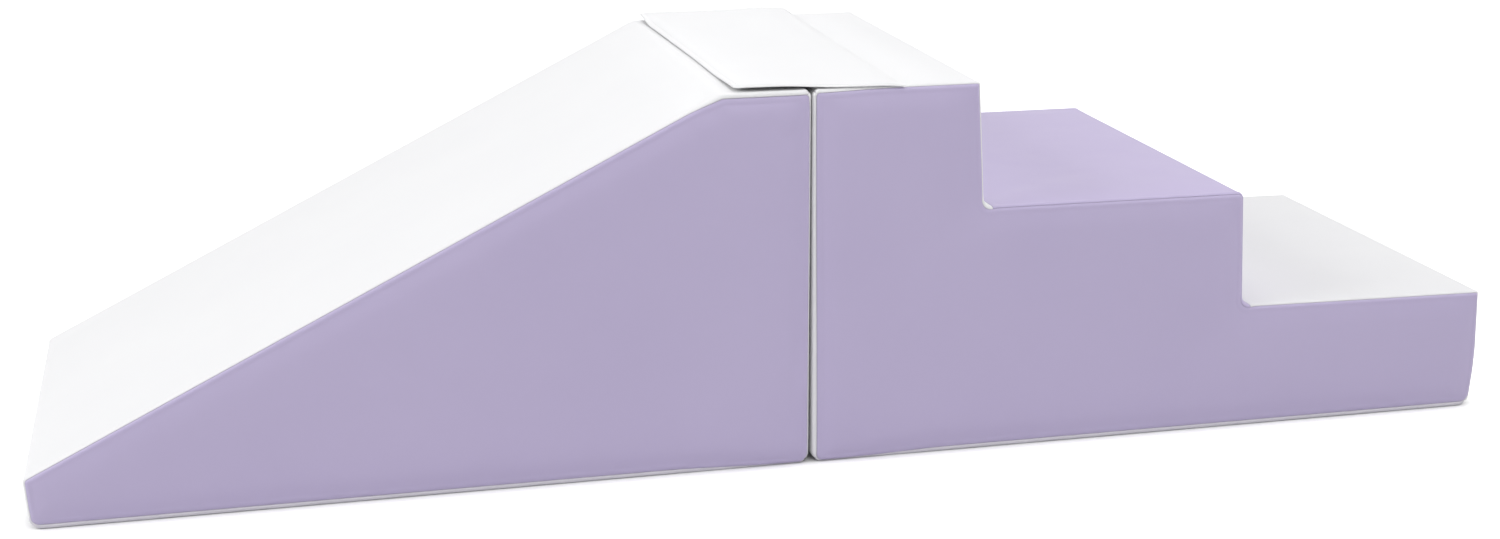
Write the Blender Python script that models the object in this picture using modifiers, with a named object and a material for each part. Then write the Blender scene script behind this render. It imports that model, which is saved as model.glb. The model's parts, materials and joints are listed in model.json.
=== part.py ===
"""Soft play foam climber: a foam slide and a foam flight of steps in sewn, zipped covers.

X runs along the climber from the slide's toe to the lowest step, the front faces -Y and
Z is up. The origin lies on the floor under the middle. Everything is in metres.
"""

import math

import bmesh
import bpy
from mathutils import Matrix, Vector

MM = 0.001

# Driving dimensions of the two blocks
HEIGHT = 0.500
WIDTH = 0.600
SLIDE_LENGTH = 0.990
SLIDE_TOE = 0.065
SLIDE_TOP = 0.1175
STEPS_LENGTH = 0.972
STEP_NOSES = (0.2245, 0.6035, STEPS_LENGTH)
STEP_FEET = (0.2345, 0.6115)
JOIN = (SLIDE_LENGTH - STEPS_LENGTH) / 2

# How far the blocks' ends lean away from the join, and how the outer ends are drawn in or swell
SLIDE_SETBACK = (0.8 * MM, 1.2 * MM)
STEPS_SETBACK = (0.9 * MM, 3.2 * MM)
TOE_DRAW = 4 * MM
LOW_END_DRAW = 1 * MM
LOW_END_BULGE = (4.2 * MM, 0.070)

# How round the covered corners are, seen from the side
TOE_RADIUS = 16 * MM
BROW_RADIUS = 7 * MM
FOLD_RADIUS = 20 * MM
TOP_RADIUS = 9 * MM
HEEL_RADIUS = 15 * MM
NOSE_RADIUS = 4 * MM
SOFT_NOSE_RADIUS = 9 * MM
FOOT_RADIUS = 13 * MM
BULGE_RADIUS = 250 * MM
LOW_HEEL_RADIUS = 19 * MM

# Cover: coated fabric panels that roll over the foam's edges and dip at each seam
SKIN = 1.4 * MM
EDGE_RADIUS = 6 * MM
QUARTER_ROLL = math.pi / 2 * EDGE_RADIUS
SEAM_GAP = 0.5 * MM
SEAM_DIP = 1.4 * MM
FOOT_DIP = 0.8 * MM
ROLL_WIDTH = 5 * MM
ROLL_STEPS = (0.0, 1.6 * MM, ROLL_WIDTH)
PAST_EDGE = 1 * MM
CROWN = 3 * MM
CROWN_REACH = 60 * MM
CROWN_STEPS = (25 * MM, CROWN_REACH)
SIDE_CROWN_REACH = 30 * MM
SIDE_PLANE = WIDTH / 2 - CROWN

# Where the seams of the side panels run: on the edge, or this far round it on the side
ON_EDGE = 0.0
WRAP = 6.5 * MM
WRAP_FADE = 20 * MM
TOE_SEAM_UP = 1 * MM
ZIP_WRAP = 12 * MM
ZIP_SLOT = 8 * MM
SLOT_TAPER = 15 * MM
ARC_STEP = math.radians(30)
NEAREST_ROW = 1.2 * MM
SHARPEST = 1 * MM
WELD = 0.01 * MM
FLAT_TURN = math.radians(0.1)

# Foam, held off the cover's seams
FOAM_INSET = 2.6 * MM
FOAM_CHAMFER = 10 * MM
CHAMFERED_TURN = math.radians(30)
ZIP_RELIEF = ((FOAM_INSET, 46 * MM), (6 * MM, 22 * MM))
TOUCH = 0.3 * MM

# Flap that joins the blocks: sewn to the steps and pressed onto the slide's top
FLAP_SEAM = 0.126
FLAP_END = 0.100
FLAP_CORNER = 8 * MM
FLAP_SHORT = 2 * MM
FLAP_ROWS = (-0.070, -0.050, -0.032, -0.012, 0.008, 0.028, 0.064)
FLAP_COLUMNS = (0.0, 0.100, 0.180, 0.250)
FLAP_SKIN = 1.2 * MM
FLAP_HEM = 1.2 * MM
LINING_SKIN = 1.0 * MM
LINING_INSET = 3 * MM
STRIP_THICKNESS = 1.5 * MM
STRIP_WIDTH = 0.050
STRIP_LENGTH = 0.540
STRIP_FROM_EDGE = 0.012
STRIP_BEVEL = 0.4 * MM

# How the flap lies: heights, and where along it (x from the join, y) they begin and how fast
STRIP_CLIMB = 4 * MM
CLIMB_SPAN = 0.100
GAP_HUMP = 6 * MM
HUMP_AT = -0.012
HUMP_SPREAD = 0.030
HUMP_ALONG = (0.020, 0.260)
CORNER_LIFT = 7 * MM
CORNER_ACROSS = (0.045, 0.055)
CORNER_ALONG = (0.160, 0.140)
FLAP_RIPPLE = 1.2 * MM
RIPPLE_SPACING = 0.085
RIPPLE_FADE = 0.080

# Coil zip along the bottom of each block's back: depths below the side's plane
ZIP_Z = ZIP_WRAP + ZIP_SLOT / 2
ZIP_MARGIN = 0.060
ZIP_CHANNEL = 1.6 * MM
TAPE_DEPTH = (3.5 * MM, 4.1 * MM)
TAPE_WIDTH = 12 * MM
COIL_DEPTH = 1.7 * MM
COIL_WIDTH = 2.2 * MM
COIL_ROUND = 0.6 * MM
OVERLAP = 0.3 * MM
METAL_BEVEL = 0.25 * MM
STOP_SIZE = (3 * MM, 0.8 * MM, 5 * MM)
STOP_DEPTH = 0.9 * MM
END_STOP_IN = 20 * MM
SLIDER_PARK = 14 * MM
SLIDER_LENGTH = 9 * MM
SLIDER_WIDTH = 7.4 * MM
SLIDER_FACE = (0.4 * MM, 1.3 * MM)
SLIDER_BACK = (4.4 * MM, 5.3 * MM)
BRIDGE = (3 * MM, 1.0 * MM)
BAIL_RADIUS = 3.4 * MM
BAIL_STEPS = 8
BAIL_WIRE = 0.9 * MM
BAIL_WIDTH = 1.6 * MM
PULL_DEPTH = -0.9 * MM
PULL_SIZE = (24 * MM, 1.2 * MM, 5 * MM)
PULL_TAIL = 0.6 * MM
PULL_WINDOW = (3.6 * MM, 4 * MM, 2.6 * MM)


def left_of(heading):
    return Vector((-heading.y, heading.x))


class Outline:
    """A closed side view in XZ, clockwise from the front, with a radius at each corner."""

    def __init__(self, corners):
        self.corners = [Vector((x, z)) for x, z, _ in corners]
        self.radii = [radius for _, _, radius in corners]
        count = len(corners)
        self.heading = []
        for i in range(count):
            edge = self.corners[(i + 1) % count] - self.corners[i]
            self.heading.append(edge.normalized())
        self.turn = []
        for i in range(count):
            before, after = self.heading[i - 1], self.heading[i]
            self.turn.append(math.atan2(before.cross(after), before.dot(after)))
        self.arc_start = []
        self.edge_start = []
        length = 0.0
        for i in range(count):
            self.arc_start.append(length)
            length += self.radii[i] * abs(self.turn[i])
            self.edge_start.append(length)
            span = (self.corners[(i + 1) % count] - self.corners[i]).length
            length += span - self.cut(i) - self.cut((i + 1) % count)
        self.length = length

    def cut(self, i):
        """How far the corner's rounding reaches along its edges."""
        return self.radii[i] * math.tan(abs(self.turn[i]) / 2)

    def middle(self, i):
        """The length along the outline at the middle of a corner."""
        return (self.arc_start[i] + self.edge_start[i]) / 2

    def edge(self, i, inset):
        """The length of the edge after corner i, and its ends when it is moved inwards."""
        following = (i + 1) % len(self.corners)
        end = self.arc_start[following] if following else self.length
        near, _ = self.corner_point(i, 1.0, inset)
        far, _ = self.corner_point(following, 0.0, inset)
        return end - self.edge_start[i], near, far

    def reach(self, i, x, inset=0.0):
        """The length along the outline where the edge after corner i passes x."""
        span, near, far = self.edge(i, inset)
        return self.edge_start[i] + span * (x - near.x) / (far.x - near.x)

    def arc_lengths(self, i):
        """The lengths at which a corner's rounding is sampled."""
        parts = max(1, math.ceil(abs(self.turn[i]) / ARC_STEP - 0.01))
        arc = self.edge_start[i] - self.arc_start[i]
        return [self.arc_start[i] + arc * k / parts for k in range(parts + 1)]

    def corner_point(self, i, share, inset):
        """A point of a corner's rounding, by its share of the turn, and its normal."""
        turn, radius = self.turn[i], self.radii[i]
        entry = left_of(self.heading[i - 1])
        normal = Matrix.Rotation(turn * share, 2) @ entry
        middle = Matrix.Rotation(turn / 2, 2) @ entry
        if turn < 0:
            rounding = max(radius - inset, SHARPEST)
            centre = self.corners[i] - middle * ((inset + rounding) / math.cos(turn / 2))
            return centre + normal * rounding, normal
        centre = self.corners[i] + middle * (radius / math.cos(turn / 2))
        return centre - normal * (radius + inset), normal

    def at(self, length, inset=0.0):
        """The point at a length along the outline, moved inwards, and its outward normal."""
        length %= self.length
        i = max(k for k, start in enumerate(self.arc_start) if start <= length + 1e-9)
        if length <= self.edge_start[i]:
            arc = max(self.edge_start[i] - self.arc_start[i], 1e-9)
            return self.corner_point(i, (length - self.arc_start[i]) / arc, inset)
        span, near, far = self.edge(i, inset)
        return near.lerp(far, (length - self.edge_start[i]) / span), left_of(self.heading[i])


def clamp(value):
    return min(max(value, 0.0), 1.0)


def ease(value):
    value = clamp(value)
    return value * value * (3 - 2 * value)


def roll(distance, dip):
    """Height of the cover beside a seam: it dips into the stitches and fills out again."""
    return -dip * (1 - clamp(distance / ROLL_WIDTH)) ** 3


def edge_section(length):
    """A point of the rounded edge between a band panel and a side panel.

    The length runs along the section from where the rounding leaves the band. Returns the
    depths below the band's face and the side's face, and how the normal is shared.
    """
    if length <= 0:
        return 0.0, EDGE_RADIUS - length, 1.0, 0.0
    if length >= QUARTER_ROLL:
        return EDGE_RADIUS + length - QUARTER_ROLL, 0.0, 0.0, 1.0
    angle = length / EDGE_RADIUS
    below_band = EDGE_RADIUS * (1 - math.cos(angle))
    below_side = EDGE_RADIUS * (1 - math.sin(angle))
    return below_band, below_side, math.cos(angle), math.sin(angle)


def seam_length(wrap):
    """Section length at a side seam that lies this far round the edge."""
    if wrap <= ON_EDGE:
        return QUARTER_ROLL / 2
    return QUARTER_ROLL + wrap - EDGE_RADIUS


def seam_at(outline, table, length):
    """Section length of a side seam, from (length along the outline, wrap) pairs."""
    length %= outline.length
    for (a, wrap_a), (b, wrap_b) in zip(table, table[1:]):
        if length <= b:
            share = ease((length - a) / (b - a))
            return seam_length(wrap_a) * (1 - share) + seam_length(wrap_b) * share
    return seam_length(table[-1][1])


def table_rows(table):
    """Lengths at which a side seam needs points, two of them within each transition."""
    rows = [length for length, _ in table]
    for (a, wrap_a), (b, wrap_b) in zip(table, table[1:]):
        if wrap_a != wrap_b:
            rows += [a + (b - a) * share for share in (0.3, 0.7)]
    return rows


def with_slot(table, outline, edge, start, end):
    """A seam table with the zip's slot let into it along an edge, from start to end in x."""
    slot = ZIP_WRAP + ZIP_SLOT
    first, last = sorted(outline.reach(edge, x, slot) for x in (start, end))
    ends = [(first - SLOT_TAPER, ZIP_WRAP), (first, slot)]
    ends += [(last, slot), (last + SLOT_TAPER, ZIP_WRAP)]
    return sorted(table + ends)


def spaced(wanted, kept, low, high):
    """The wanted lengths between low and high that keep clear of those already kept."""
    rows = list(kept)
    for length in wanted:
        if low < length < high and min(abs(length - row) for row in rows) > NEAREST_ROW:
            rows.append(length)
    return sorted(rows)


def band_panel(name, outline, start, end, tables, crowns, dips, material):
    """A cover panel that runs across the block, from one cross seam to the next.

    tables place the front and back seams, crowns lists the stretches of the outline that
    swell between firm edges, and dips is the depth of the first and last cross seam.
    """
    start, end = start + SEAM_GAP / 2, end - SEAM_GAP / 2
    wanted = []
    for i in range(len(outline.corners)):
        wanted += outline.arc_lengths(i)
    for a, b in crowns:
        wanted += [a] + [a + step for step in CROWN_STEPS]
        wanted += [b] + [b - step for step in CROWN_STEPS]
    for table in tables:
        wanted += table_rows(table)
    wanted += [length + outline.length for length in wanted]
    rolls = [start + step for step in ROLL_STEPS] + [end - step for step in ROLL_STEPS]
    grid = []
    for length in spaced(wanted, rolls, start, end):
        cross_dip = min(roll(length - start, dips[0]), roll(end - length, dips[1]))
        swell = CROWN * sum(
            ease((length - a) / CROWN_REACH) * ease((b - length) / CROWN_REACH)
            for a, b in crowns
        )
        row = []
        for side, table in zip((-1, 1), tables):
            seam = seam_at(outline, table, length) - SEAM_GAP / 2
            flat = max(seam, ROLL_WIDTH) + PAST_EDGE
            across = [*ROLL_STEPS, flat]
            if max(wrap for _, wrap in table) > WRAP:
                across.insert(-1, (ROLL_WIDTH + flat) / 2)
            if crowns:
                across += [seam + step for step in CROWN_STEPS]
            half = []
            for distance in across:
                depth, inward, up, out = edge_section(seam - distance)
                height = min(roll(distance, SEAM_DIP), cross_dip)
                height += swell * ease((distance - seam) / CROWN_REACH)
                point, _ = outline.at(length, depth - height * up)
                y = side * (SIDE_PLANE - inward + height * out)
                half.append(Vector((point.x, y, point.y)))
            row += half if side < 0 else half[::-1]
        grid.append(row)
    return shell(name, grid_mesh(name, grid), material)


def grid_mesh(name, grid):
    """An open surface lofted through rows of points."""
    mesh = bpy.data.meshes.new(name)
    surface = bmesh.new()
    points = [[surface.verts.new(point) for point in row] for row in grid]
    for near, far in zip(points, points[1:]):
        for k in range(len(near) - 1):
            surface.faces.new((near[k], far[k], far[k + 1], near[k + 1]))
    surface.to_mesh(mesh)
    surface.free()
    return mesh


def side_panel(name, outline, side, table, material):
    """The cover panel on a block's front (side -1) or back (side 1)."""
    rounds = []
    for i in range(len(outline.corners)):
        rounds += [length for length in outline.arc_lengths(i) if length < outline.length]
    rows = spaced(table_rows(table), rounds, 0.0, outline.length - NEAREST_ROW)
    surface = bmesh.new()
    rings = []
    for distance in (*ROLL_STEPS, SIDE_CROWN_REACH):
        ring = []
        for length in rows:
            seam = seam_at(outline, table, length) + SEAM_GAP / 2
            depth, inward, up, out = edge_section(seam + distance)
            height = roll(distance, SEAM_DIP) + CROWN * ease(distance / SIDE_CROWN_REACH)
            point, _ = outline.at(length, depth - height * up)
            y = side * (SIDE_PLANE - inward + height * out)
            ring.append(surface.verts.new((point.x, y, point.y)))
        rings.append(ring)
    for outer, inner in zip(rings, rings[1:]):
        for k in range(len(rows)):
            n = (k + 1) % len(rows)
            loop = (outer[k], outer[n], inner[n], inner[k])
            surface.faces.new(loop if side > 0 else loop[::-1])
    surface.faces.new(rings[-1] if side > 0 else rings[-1][::-1])
    mesh = bpy.data.meshes.new(name)
    surface.to_mesh(mesh)
    surface.free()
    return shell(name, mesh, material)


def shell(name, mesh, material, thickness=SKIN):
    """An open surface given its thickness inwards."""
    piece = add_piece(name, mesh, material)
    wall = piece.modifiers.new("thickness", "SOLIDIFY")
    wall.thickness = thickness
    wall.offset = -1
    return piece


def add_piece(name, mesh, material):
    piece = bpy.data.objects.new(name, mesh)
    bpy.data.collections["foam_climber"].objects.link(piece)
    mesh.materials.append(material)
    return piece


# How a flat outline drawn in its own plane is turned to stand across each axis
ACROSS = {
    "X": Matrix(((0, 0, 1), (1, 0, 0), (0, 1, 0))).to_4x4(),
    "Y": Matrix(((1, 0, 0), (0, 0, -1), (0, 1, 0))).to_4x4(),
    "Z": Matrix.Identity(4),
}


def cut_out(name, points, axis, low, high, material):
    """A flat outline with a thickness along an axis, from low to high.

    The points are (y, z) across X, (x, z) across Y and (x, y) across Z.
    """
    curve = bpy.data.curves.new(name, "CURVE")
    curve.dimensions = "2D"
    curve.fill_mode = "BOTH"
    curve.extrude = (high - low) / 2
    spline = curve.splines.new("POLY")
    spline.points.add(len(points) - 1)
    for point, (u, v) in zip(spline.points, points):
        point.co = (u, v, 0, 1)
    spline.use_cyclic_u = True
    drawing = bpy.data.objects.new(name, curve)
    bpy.context.scene.collection.objects.link(drawing)
    graph = bpy.context.evaluated_depsgraph_get()
    mesh = bpy.data.meshes.new_from_object(drawing.evaluated_get(graph))
    bpy.data.objects.remove(drawing, do_unlink=True)
    bpy.data.curves.remove(curve)
    step = Vector((0, 0, 0))
    step["XYZ".index(axis)] = (low + high) / 2
    solid = bmesh.new()
    solid.from_mesh(mesh)
    bmesh.ops.remove_doubles(solid, verts=solid.verts, dist=WELD)
    bmesh.ops.dissolve_limit(
        solid, angle_limit=FLAT_TURN, verts=solid.verts, edges=solid.edges
    )
    solid.transform(Matrix.Translation(step) @ ACROSS[axis])
    bmesh.ops.recalc_face_normals(solid, faces=solid.faces)
    solid.to_mesh(mesh)
    solid.free()
    mesh.name = name
    mesh.materials.clear()
    return add_piece(name, mesh, material)


def chamfer(piece, width, which="ANGLE"):
    edges = piece.modifiers.new("edges", "BEVEL")
    edges.width = width
    edges.segments = 1
    edges.limit_method = which


def box(name, low, high, material, bevel=0.0):
    """A box between two corners, with chamfered edges if asked."""
    low, high = Vector(low), Vector(high)
    solid = bmesh.new()
    bmesh.ops.create_cube(solid, size=1.0)
    bmesh.ops.scale(solid, vec=high - low, verts=solid.verts)
    bmesh.ops.translate(solid, vec=(low + high) / 2, verts=solid.verts)
    mesh = bpy.data.meshes.new(name)
    solid.to_mesh(mesh)
    solid.free()
    piece = add_piece(name, mesh, material)
    if bevel:
        chamfer(piece, bevel)
    return piece


def combine(piece, helper, operation):
    """Joins a helper to a piece, or cuts it out, and keeps the helper out of the part."""
    change = piece.modifiers.new(helper.name, "BOOLEAN")
    change.operation = operation
    change.solver = "EXACT"
    change.object = helper
    bpy.data.collections["foam_climber"].objects.unlink(helper)
    bpy.data.collections["cutters"].objects.link(helper)
    helper.hide_render = True
    helper.display_type = "WIRE"


def anchor(name, place, pieces):
    """Parents pieces to an empty on their joint's axis, without moving them."""
    empty = bpy.data.objects.new(name, None)
    bpy.data.collections["foam_climber"].objects.link(empty)
    empty.empty_display_size = 0.05
    empty.location = place
    for piece in pieces:
        piece.parent = empty
        piece.location = -Vector(place)
        for modifier in piece.modifiers:
            if modifier.type == "BOOLEAN":
                modifier.object.parent = empty
                modifier.object.location = -Vector(place)


def material(name, colour, roughness, metallic=0.0):
    made = bpy.data.materials.new(name)
    made.use_nodes = True
    shader = made.node_tree.nodes["Principled BSDF"]
    linear = [((c / 255 + 0.055) / 1.055) ** 2.4 for c in colour]
    shader.inputs["Base Color"].default_value = (*linear, 1.0)
    shader.inputs["Roughness"].default_value = roughness
    shader.inputs["Metallic"].default_value = metallic
    made.diffuse_color = (*linear, 1.0)
    return made


def lilac_cover(name):
    return material(name, (182, 171, 204), 0.50)


def white_cover(name):
    return material(name, (245, 245, 246), 0.45)


def base_cloth(name):
    return material(name, (214, 213, 211), 0.75)


def foam(name):
    return material(name, (236, 233, 222), 0.95)


def zip_nylon(name):
    return material(name, (226, 225, 226), 0.60)


def zip_metal(name):
    return material(name, (196, 198, 202), 0.35, 1.0)


def strip_nylon(name):
    return material(name, (238, 238, 238), 0.95)


def foam_block(name, points, glued=None, has_zip=False):
    """A foam core as wide as the cover allows, with its edges cut off for the seams.

    An edge in a glued underside, at the height given, stays square.
    """
    reach = SIDE_PLANE - FOAM_INSET
    block = cut_out(name, points, "Y", -reach, reach, foam(name))
    solid = bmesh.new()
    solid.from_mesh(block.data)
    if has_zip:
        relieve_for_zip(solid)
    weight = solid.edges.layers.float.new("bevel_weight_edge")
    for edge in solid.edges:
        is_sharp = edge.calc_face_angle() > CHAMFERED_TURN
        top = max(vert.co.z for vert in edge.verts)
        if is_sharp and (glued is None or top > glued + TOUCH):
            edge[weight] = 1.0
    solid.to_mesh(block.data)
    solid.free()
    chamfer(block, FOAM_CHAMFER, "WEIGHT")
    return block


def relieve_for_zip(solid):
    """Cuts the foam's back on a slant above the floor, which leaves room for the zip."""
    high, low = (Vector((0, SIDE_PLANE - depth, z)) for depth, z in ZIP_RELIEF)
    along = low - high
    cut = bmesh.ops.bisect_plane(
        solid,
        geom=solid.verts[:] + solid.edges[:] + solid.faces[:],
        plane_co=high,
        plane_no=Vector((0, -along.z, along.y)).normalized(),
        clear_outer=True,
    )["geom_cut"]
    rim = [item for item in cut if isinstance(item, bmesh.types.BMEdge)]
    bmesh.ops.edgeloop_fill(solid, edges=rim)
    bmesh.ops.recalc_face_normals(solid, faces=solid.faces)


def make_tape(name, sign, low, high):
    """One half of the closed zip: a woven tape with its coil as a bead along the edge."""
    inner = ZIP_CHANNEL / 2
    outer = inner + COIL_WIDTH
    top, crest = COIL_DEPTH, COIL_DEPTH + COIL_ROUND

    def placed(section):
        return [(SIDE_PLANE - depth, ZIP_Z + sign * rise) for depth, rise in section]

    flat = [
        (TAPE_DEPTH[0], inner),
        (TAPE_DEPTH[1], inner),
        (TAPE_DEPTH[1], TAPE_WIDTH),
        (TAPE_DEPTH[0], TAPE_WIDTH),
    ]
    bead = [
        (TAPE_DEPTH[0] + OVERLAP, inner),
        (crest, inner),
        (top, inner + COIL_ROUND),
        (top, outer - COIL_ROUND),
        (crest, outer),
        (TAPE_DEPTH[0] + OVERLAP, outer),
    ]
    ends = (low - SLOT_TAPER, high + SLOT_TAPER)
    tape = cut_out(name, placed(flat), "X", *ends, zip_nylon(name))
    coil = cut_out(f"{name}_coil", placed(bead), "X", low, high, tape.data.materials[0])
    combine(tape, coil, "UNION")
    return tape


def make_zip(block, start, end):
    """A closed coil zip along a block's back, its slider parked at the start."""
    towards = 1 if end > start else -1
    low, high = min(start, end), max(start, end)
    tapes = [
        make_tape(f"{block}_zip_upper_tape", 1, low, high),
        make_tape(f"{block}_zip_lower_tape", -1, low, high),
    ]
    stops = []
    length, thick, width = STOP_SIZE
    for label, x in (("start", start + towards * length), ("end", end - towards * END_STOP_IN)):
        name = f"{block}_zip_{label}_stop"
        y = SIDE_PLANE - STOP_DEPTH
        corner = Vector((length, thick, width)) / 2
        middle = Vector((x, y, ZIP_Z))
        stops.append(box(name, middle - corner, middle + corner, zip_metal(name), METAL_BEVEL))
    make_slider(block, start + towards * SLIDER_PARK, towards)
    return tapes + stops


def make_slider(block, x, towards):
    """The slider that runs on the coil, and the pull that hangs on its bail."""
    name = f"{block}_zip_slider"
    metal = zip_metal(name)
    half, wide = SLIDER_LENGTH / 2, SLIDER_WIDTH / 2

    def plate(label, depths, half_length, half_width):
        return box(
            label,
            (x - half_length, SIDE_PLANE - depths[1], ZIP_Z - half_width),
            (x + half_length, SIDE_PLANE - depths[0], ZIP_Z + half_width),
            metal,
        )

    slider = plate(name, SLIDER_FACE, half, wide)
    back = plate(f"{name}_back", SLIDER_BACK, half, wide)
    inside = (SLIDER_FACE[0] + OVERLAP, SLIDER_BACK[1] - OVERLAP)
    bridge = plate(f"{name}_bridge", inside, BRIDGE[0] / 2, BRIDGE[1] / 2)
    foot = SIDE_PLANE - SLIDER_FACE[0] - OVERLAP
    turns = [math.pi * k / BAIL_STEPS for k in range(BAIL_STEPS + 1)]
    ring = []
    for radius, angles in ((BAIL_RADIUS, turns), (BAIL_RADIUS - BAIL_WIRE, turns[::-1])):
        ring += [(x + radius * math.cos(a), foot + radius * math.sin(a)) for a in angles]
    across = (ZIP_Z - BAIL_WIDTH / 2, ZIP_Z + BAIL_WIDTH / 2)
    bail = cut_out(f"{name}_bail", ring, "Z", *across, metal)
    for helper in (back, bridge, bail):
        combine(slider, helper, "UNION")
    anchor(f"{name}_run", (x, SIDE_PLANE, ZIP_Z), [slider])

    name = f"{block}_zip_pull"
    y = SIDE_PLANE - PULL_DEPTH
    length, thick, width = PULL_SIZE
    ends = sorted((x - towards * PULL_TAIL, x + towards * (length - PULL_TAIL)))
    tab = box(
        name,
        (ends[0], y - thick / 2, ZIP_Z - width / 2),
        (ends[1], y + thick / 2, ZIP_Z + width / 2),
        zip_metal(name),
        METAL_BEVEL,
    )
    ends = sorted((x + towards * PULL_TAIL, x + towards * (PULL_TAIL + PULL_WINDOW[0])))
    window = box(
        f"{name}_window",
        (ends[0], y - PULL_WINDOW[1] / 2, ZIP_Z - PULL_WINDOW[2] / 2),
        (ends[1], y + PULL_WINDOW[1] / 2, ZIP_Z + PULL_WINDOW[2] / 2),
        metal,
    )
    combine(tab, window, "DIFFERENCE")
    anchor(f"{name}_hinge", (x, y, ZIP_Z), [tab])


def hook_and_loop(name, bottom):
    """One of the two strips that hold the flap down on the slide."""
    left = JOIN - FLAP_END + STRIP_FROM_EDGE
    return box(
        name,
        (left, -STRIP_LENGTH / 2, bottom),
        (left + STRIP_WIDTH, STRIP_LENGTH / 2, bottom + STRIP_THICKNESS),
        strip_nylon(name),
        STRIP_BEVEL,
    )


def make_slide():
    """The slide block: a foam wedge, five cover panels, the zip and the loop strip."""
    left, right = JOIN - SLIDE_LENGTH, JOIN
    side = Outline(
        [
            (left + TOE_DRAW, 0.0, TOE_RADIUS),
            (left, SLIDE_TOE, BROW_RADIUS),
            (right - SLIDE_TOP, HEIGHT, FOLD_RADIUS),
            (right - SLIDE_SETBACK[0], HEIGHT, TOP_RADIUS),
            (right - SLIDE_SETBACK[1], 0.0, HEEL_RADIUS),
        ]
    )
    toe, brow, fold, top, heel = range(5)
    toe_seam = side.edge_start[toe] + TOE_SEAM_UP
    top_seam, heel_seam = side.middle(top), side.middle(heel)

    def seams(base_wrap):
        return [
            (0.0, WRAP),
            (toe_seam, WRAP),
            (toe_seam + WRAP_FADE, ON_EDGE),
            (side.edge_start[fold], ON_EDGE),
            (side.edge_start[fold] + WRAP_FADE, WRAP),
            (side.edge_start[top], WRAP),
            (side.edge_start[top] + WRAP_FADE, ON_EDGE),
            (side.edge_start[heel], ON_EDGE),
            (side.edge_start[heel] + WRAP_FADE, base_wrap),
            (side.length - WRAP_FADE, base_wrap),
            (side.length, WRAP),
        ]

    tables = (seams(WRAP), seams(ZIP_WRAP))
    start, end = right - ZIP_MARGIN, left + ZIP_MARGIN + END_STOP_IN
    slotted = with_slot(tables[1], side, heel, start, end)

    slope = (HEIGHT - SLIDE_TOE) / (SLIDE_LENGTH - SLIDE_TOP)
    drop = FOAM_INSET * math.hypot(1, slope)
    wedge = [
        (left + TOE_DRAW + FOAM_INSET, FOAM_INSET),
        (left + FOAM_INSET, SLIDE_TOE + FOAM_INSET * slope - drop),
        (right - SLIDE_TOP + (drop - FOAM_INSET) / slope, HEIGHT - FOAM_INSET),
        (right - SLIDE_SETBACK[0] - FOAM_INSET, HEIGHT - FOAM_INSET),
        (right - SLIDE_SETBACK[1] - FOAM_INSET, FOAM_INSET),
    ]
    core = foam_block("slide_foam_wedge", wedge, has_zip=True)

    ramp = [(side.edge_start[brow], side.arc_start[fold])]
    dips = (SEAM_DIP, SEAM_DIP)
    name = "slide_ramp_panel"
    panels = [
        band_panel(name, side, toe_seam, top_seam, tables, ramp, dips, white_cover(name))
    ]
    name = "slide_end_panel"
    panels.append(
        band_panel(name, side, top_seam, heel_seam, tables, [], dips, white_cover(name))
    )
    name = "slide_base_panel"
    around = side.length + toe_seam
    panels.append(band_panel(name, side, heel_seam, around, tables, [], dips, base_cloth(name)))
    name = "slide_front_panel"
    panels.append(side_panel(name, side, -1, tables[0], lilac_cover(name)))
    name = "slide_back_panel"
    panels.append(side_panel(name, side, 1, slotted, lilac_cover(name)))

    strip = hook_and_loop("slide_loop_strip", HEIGHT + TOUCH)
    anchor("slide_block", (JOIN, 0, 0), [core, *panels, strip, *make_zip("slide", start, end)])


def gap_face(z):
    """The foam's face at the gap, which leans a little away from the slide."""
    share = z / HEIGHT
    return JOIN + STEPS_SETBACK[0] * share + STEPS_SETBACK[1] * (1 - share) + FOAM_INSET


def steps_foam():
    """Three slabs of foam, glued in a stack."""
    tops = [HEIGHT * k / 3 - FOAM_INSET for k in (1, 2, 3)]
    noses = [JOIN + x - FOAM_INSET for x in STEP_NOSES]
    feet = [JOIN + x - FOAM_INSET for x in STEP_FEET]
    lower = [
        (gap_face(FOAM_INSET), FOAM_INSET),
        (gap_face(tops[0]), tops[0]),
        (noses[2], tops[0]),
        (noses[2] + LOW_END_BULGE[0], LOW_END_BULGE[1]),
        (noses[2] - LOW_END_DRAW, FOAM_INSET),
    ]
    slabs = [foam_block("steps_foam_lower", lower, has_zip=True)]
    for k, label in ((1, "middle"), (2, "upper")):
        bottom = tops[k - 1] + TOUCH
        slab = [
            (gap_face(bottom), bottom),
            (gap_face(tops[k]), tops[k]),
            (noses[2 - k], tops[k]),
            (feet[2 - k], bottom),
        ]
        slabs.append(foam_block(f"steps_foam_{label}", slab, glued=bottom))
    return slabs


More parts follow.
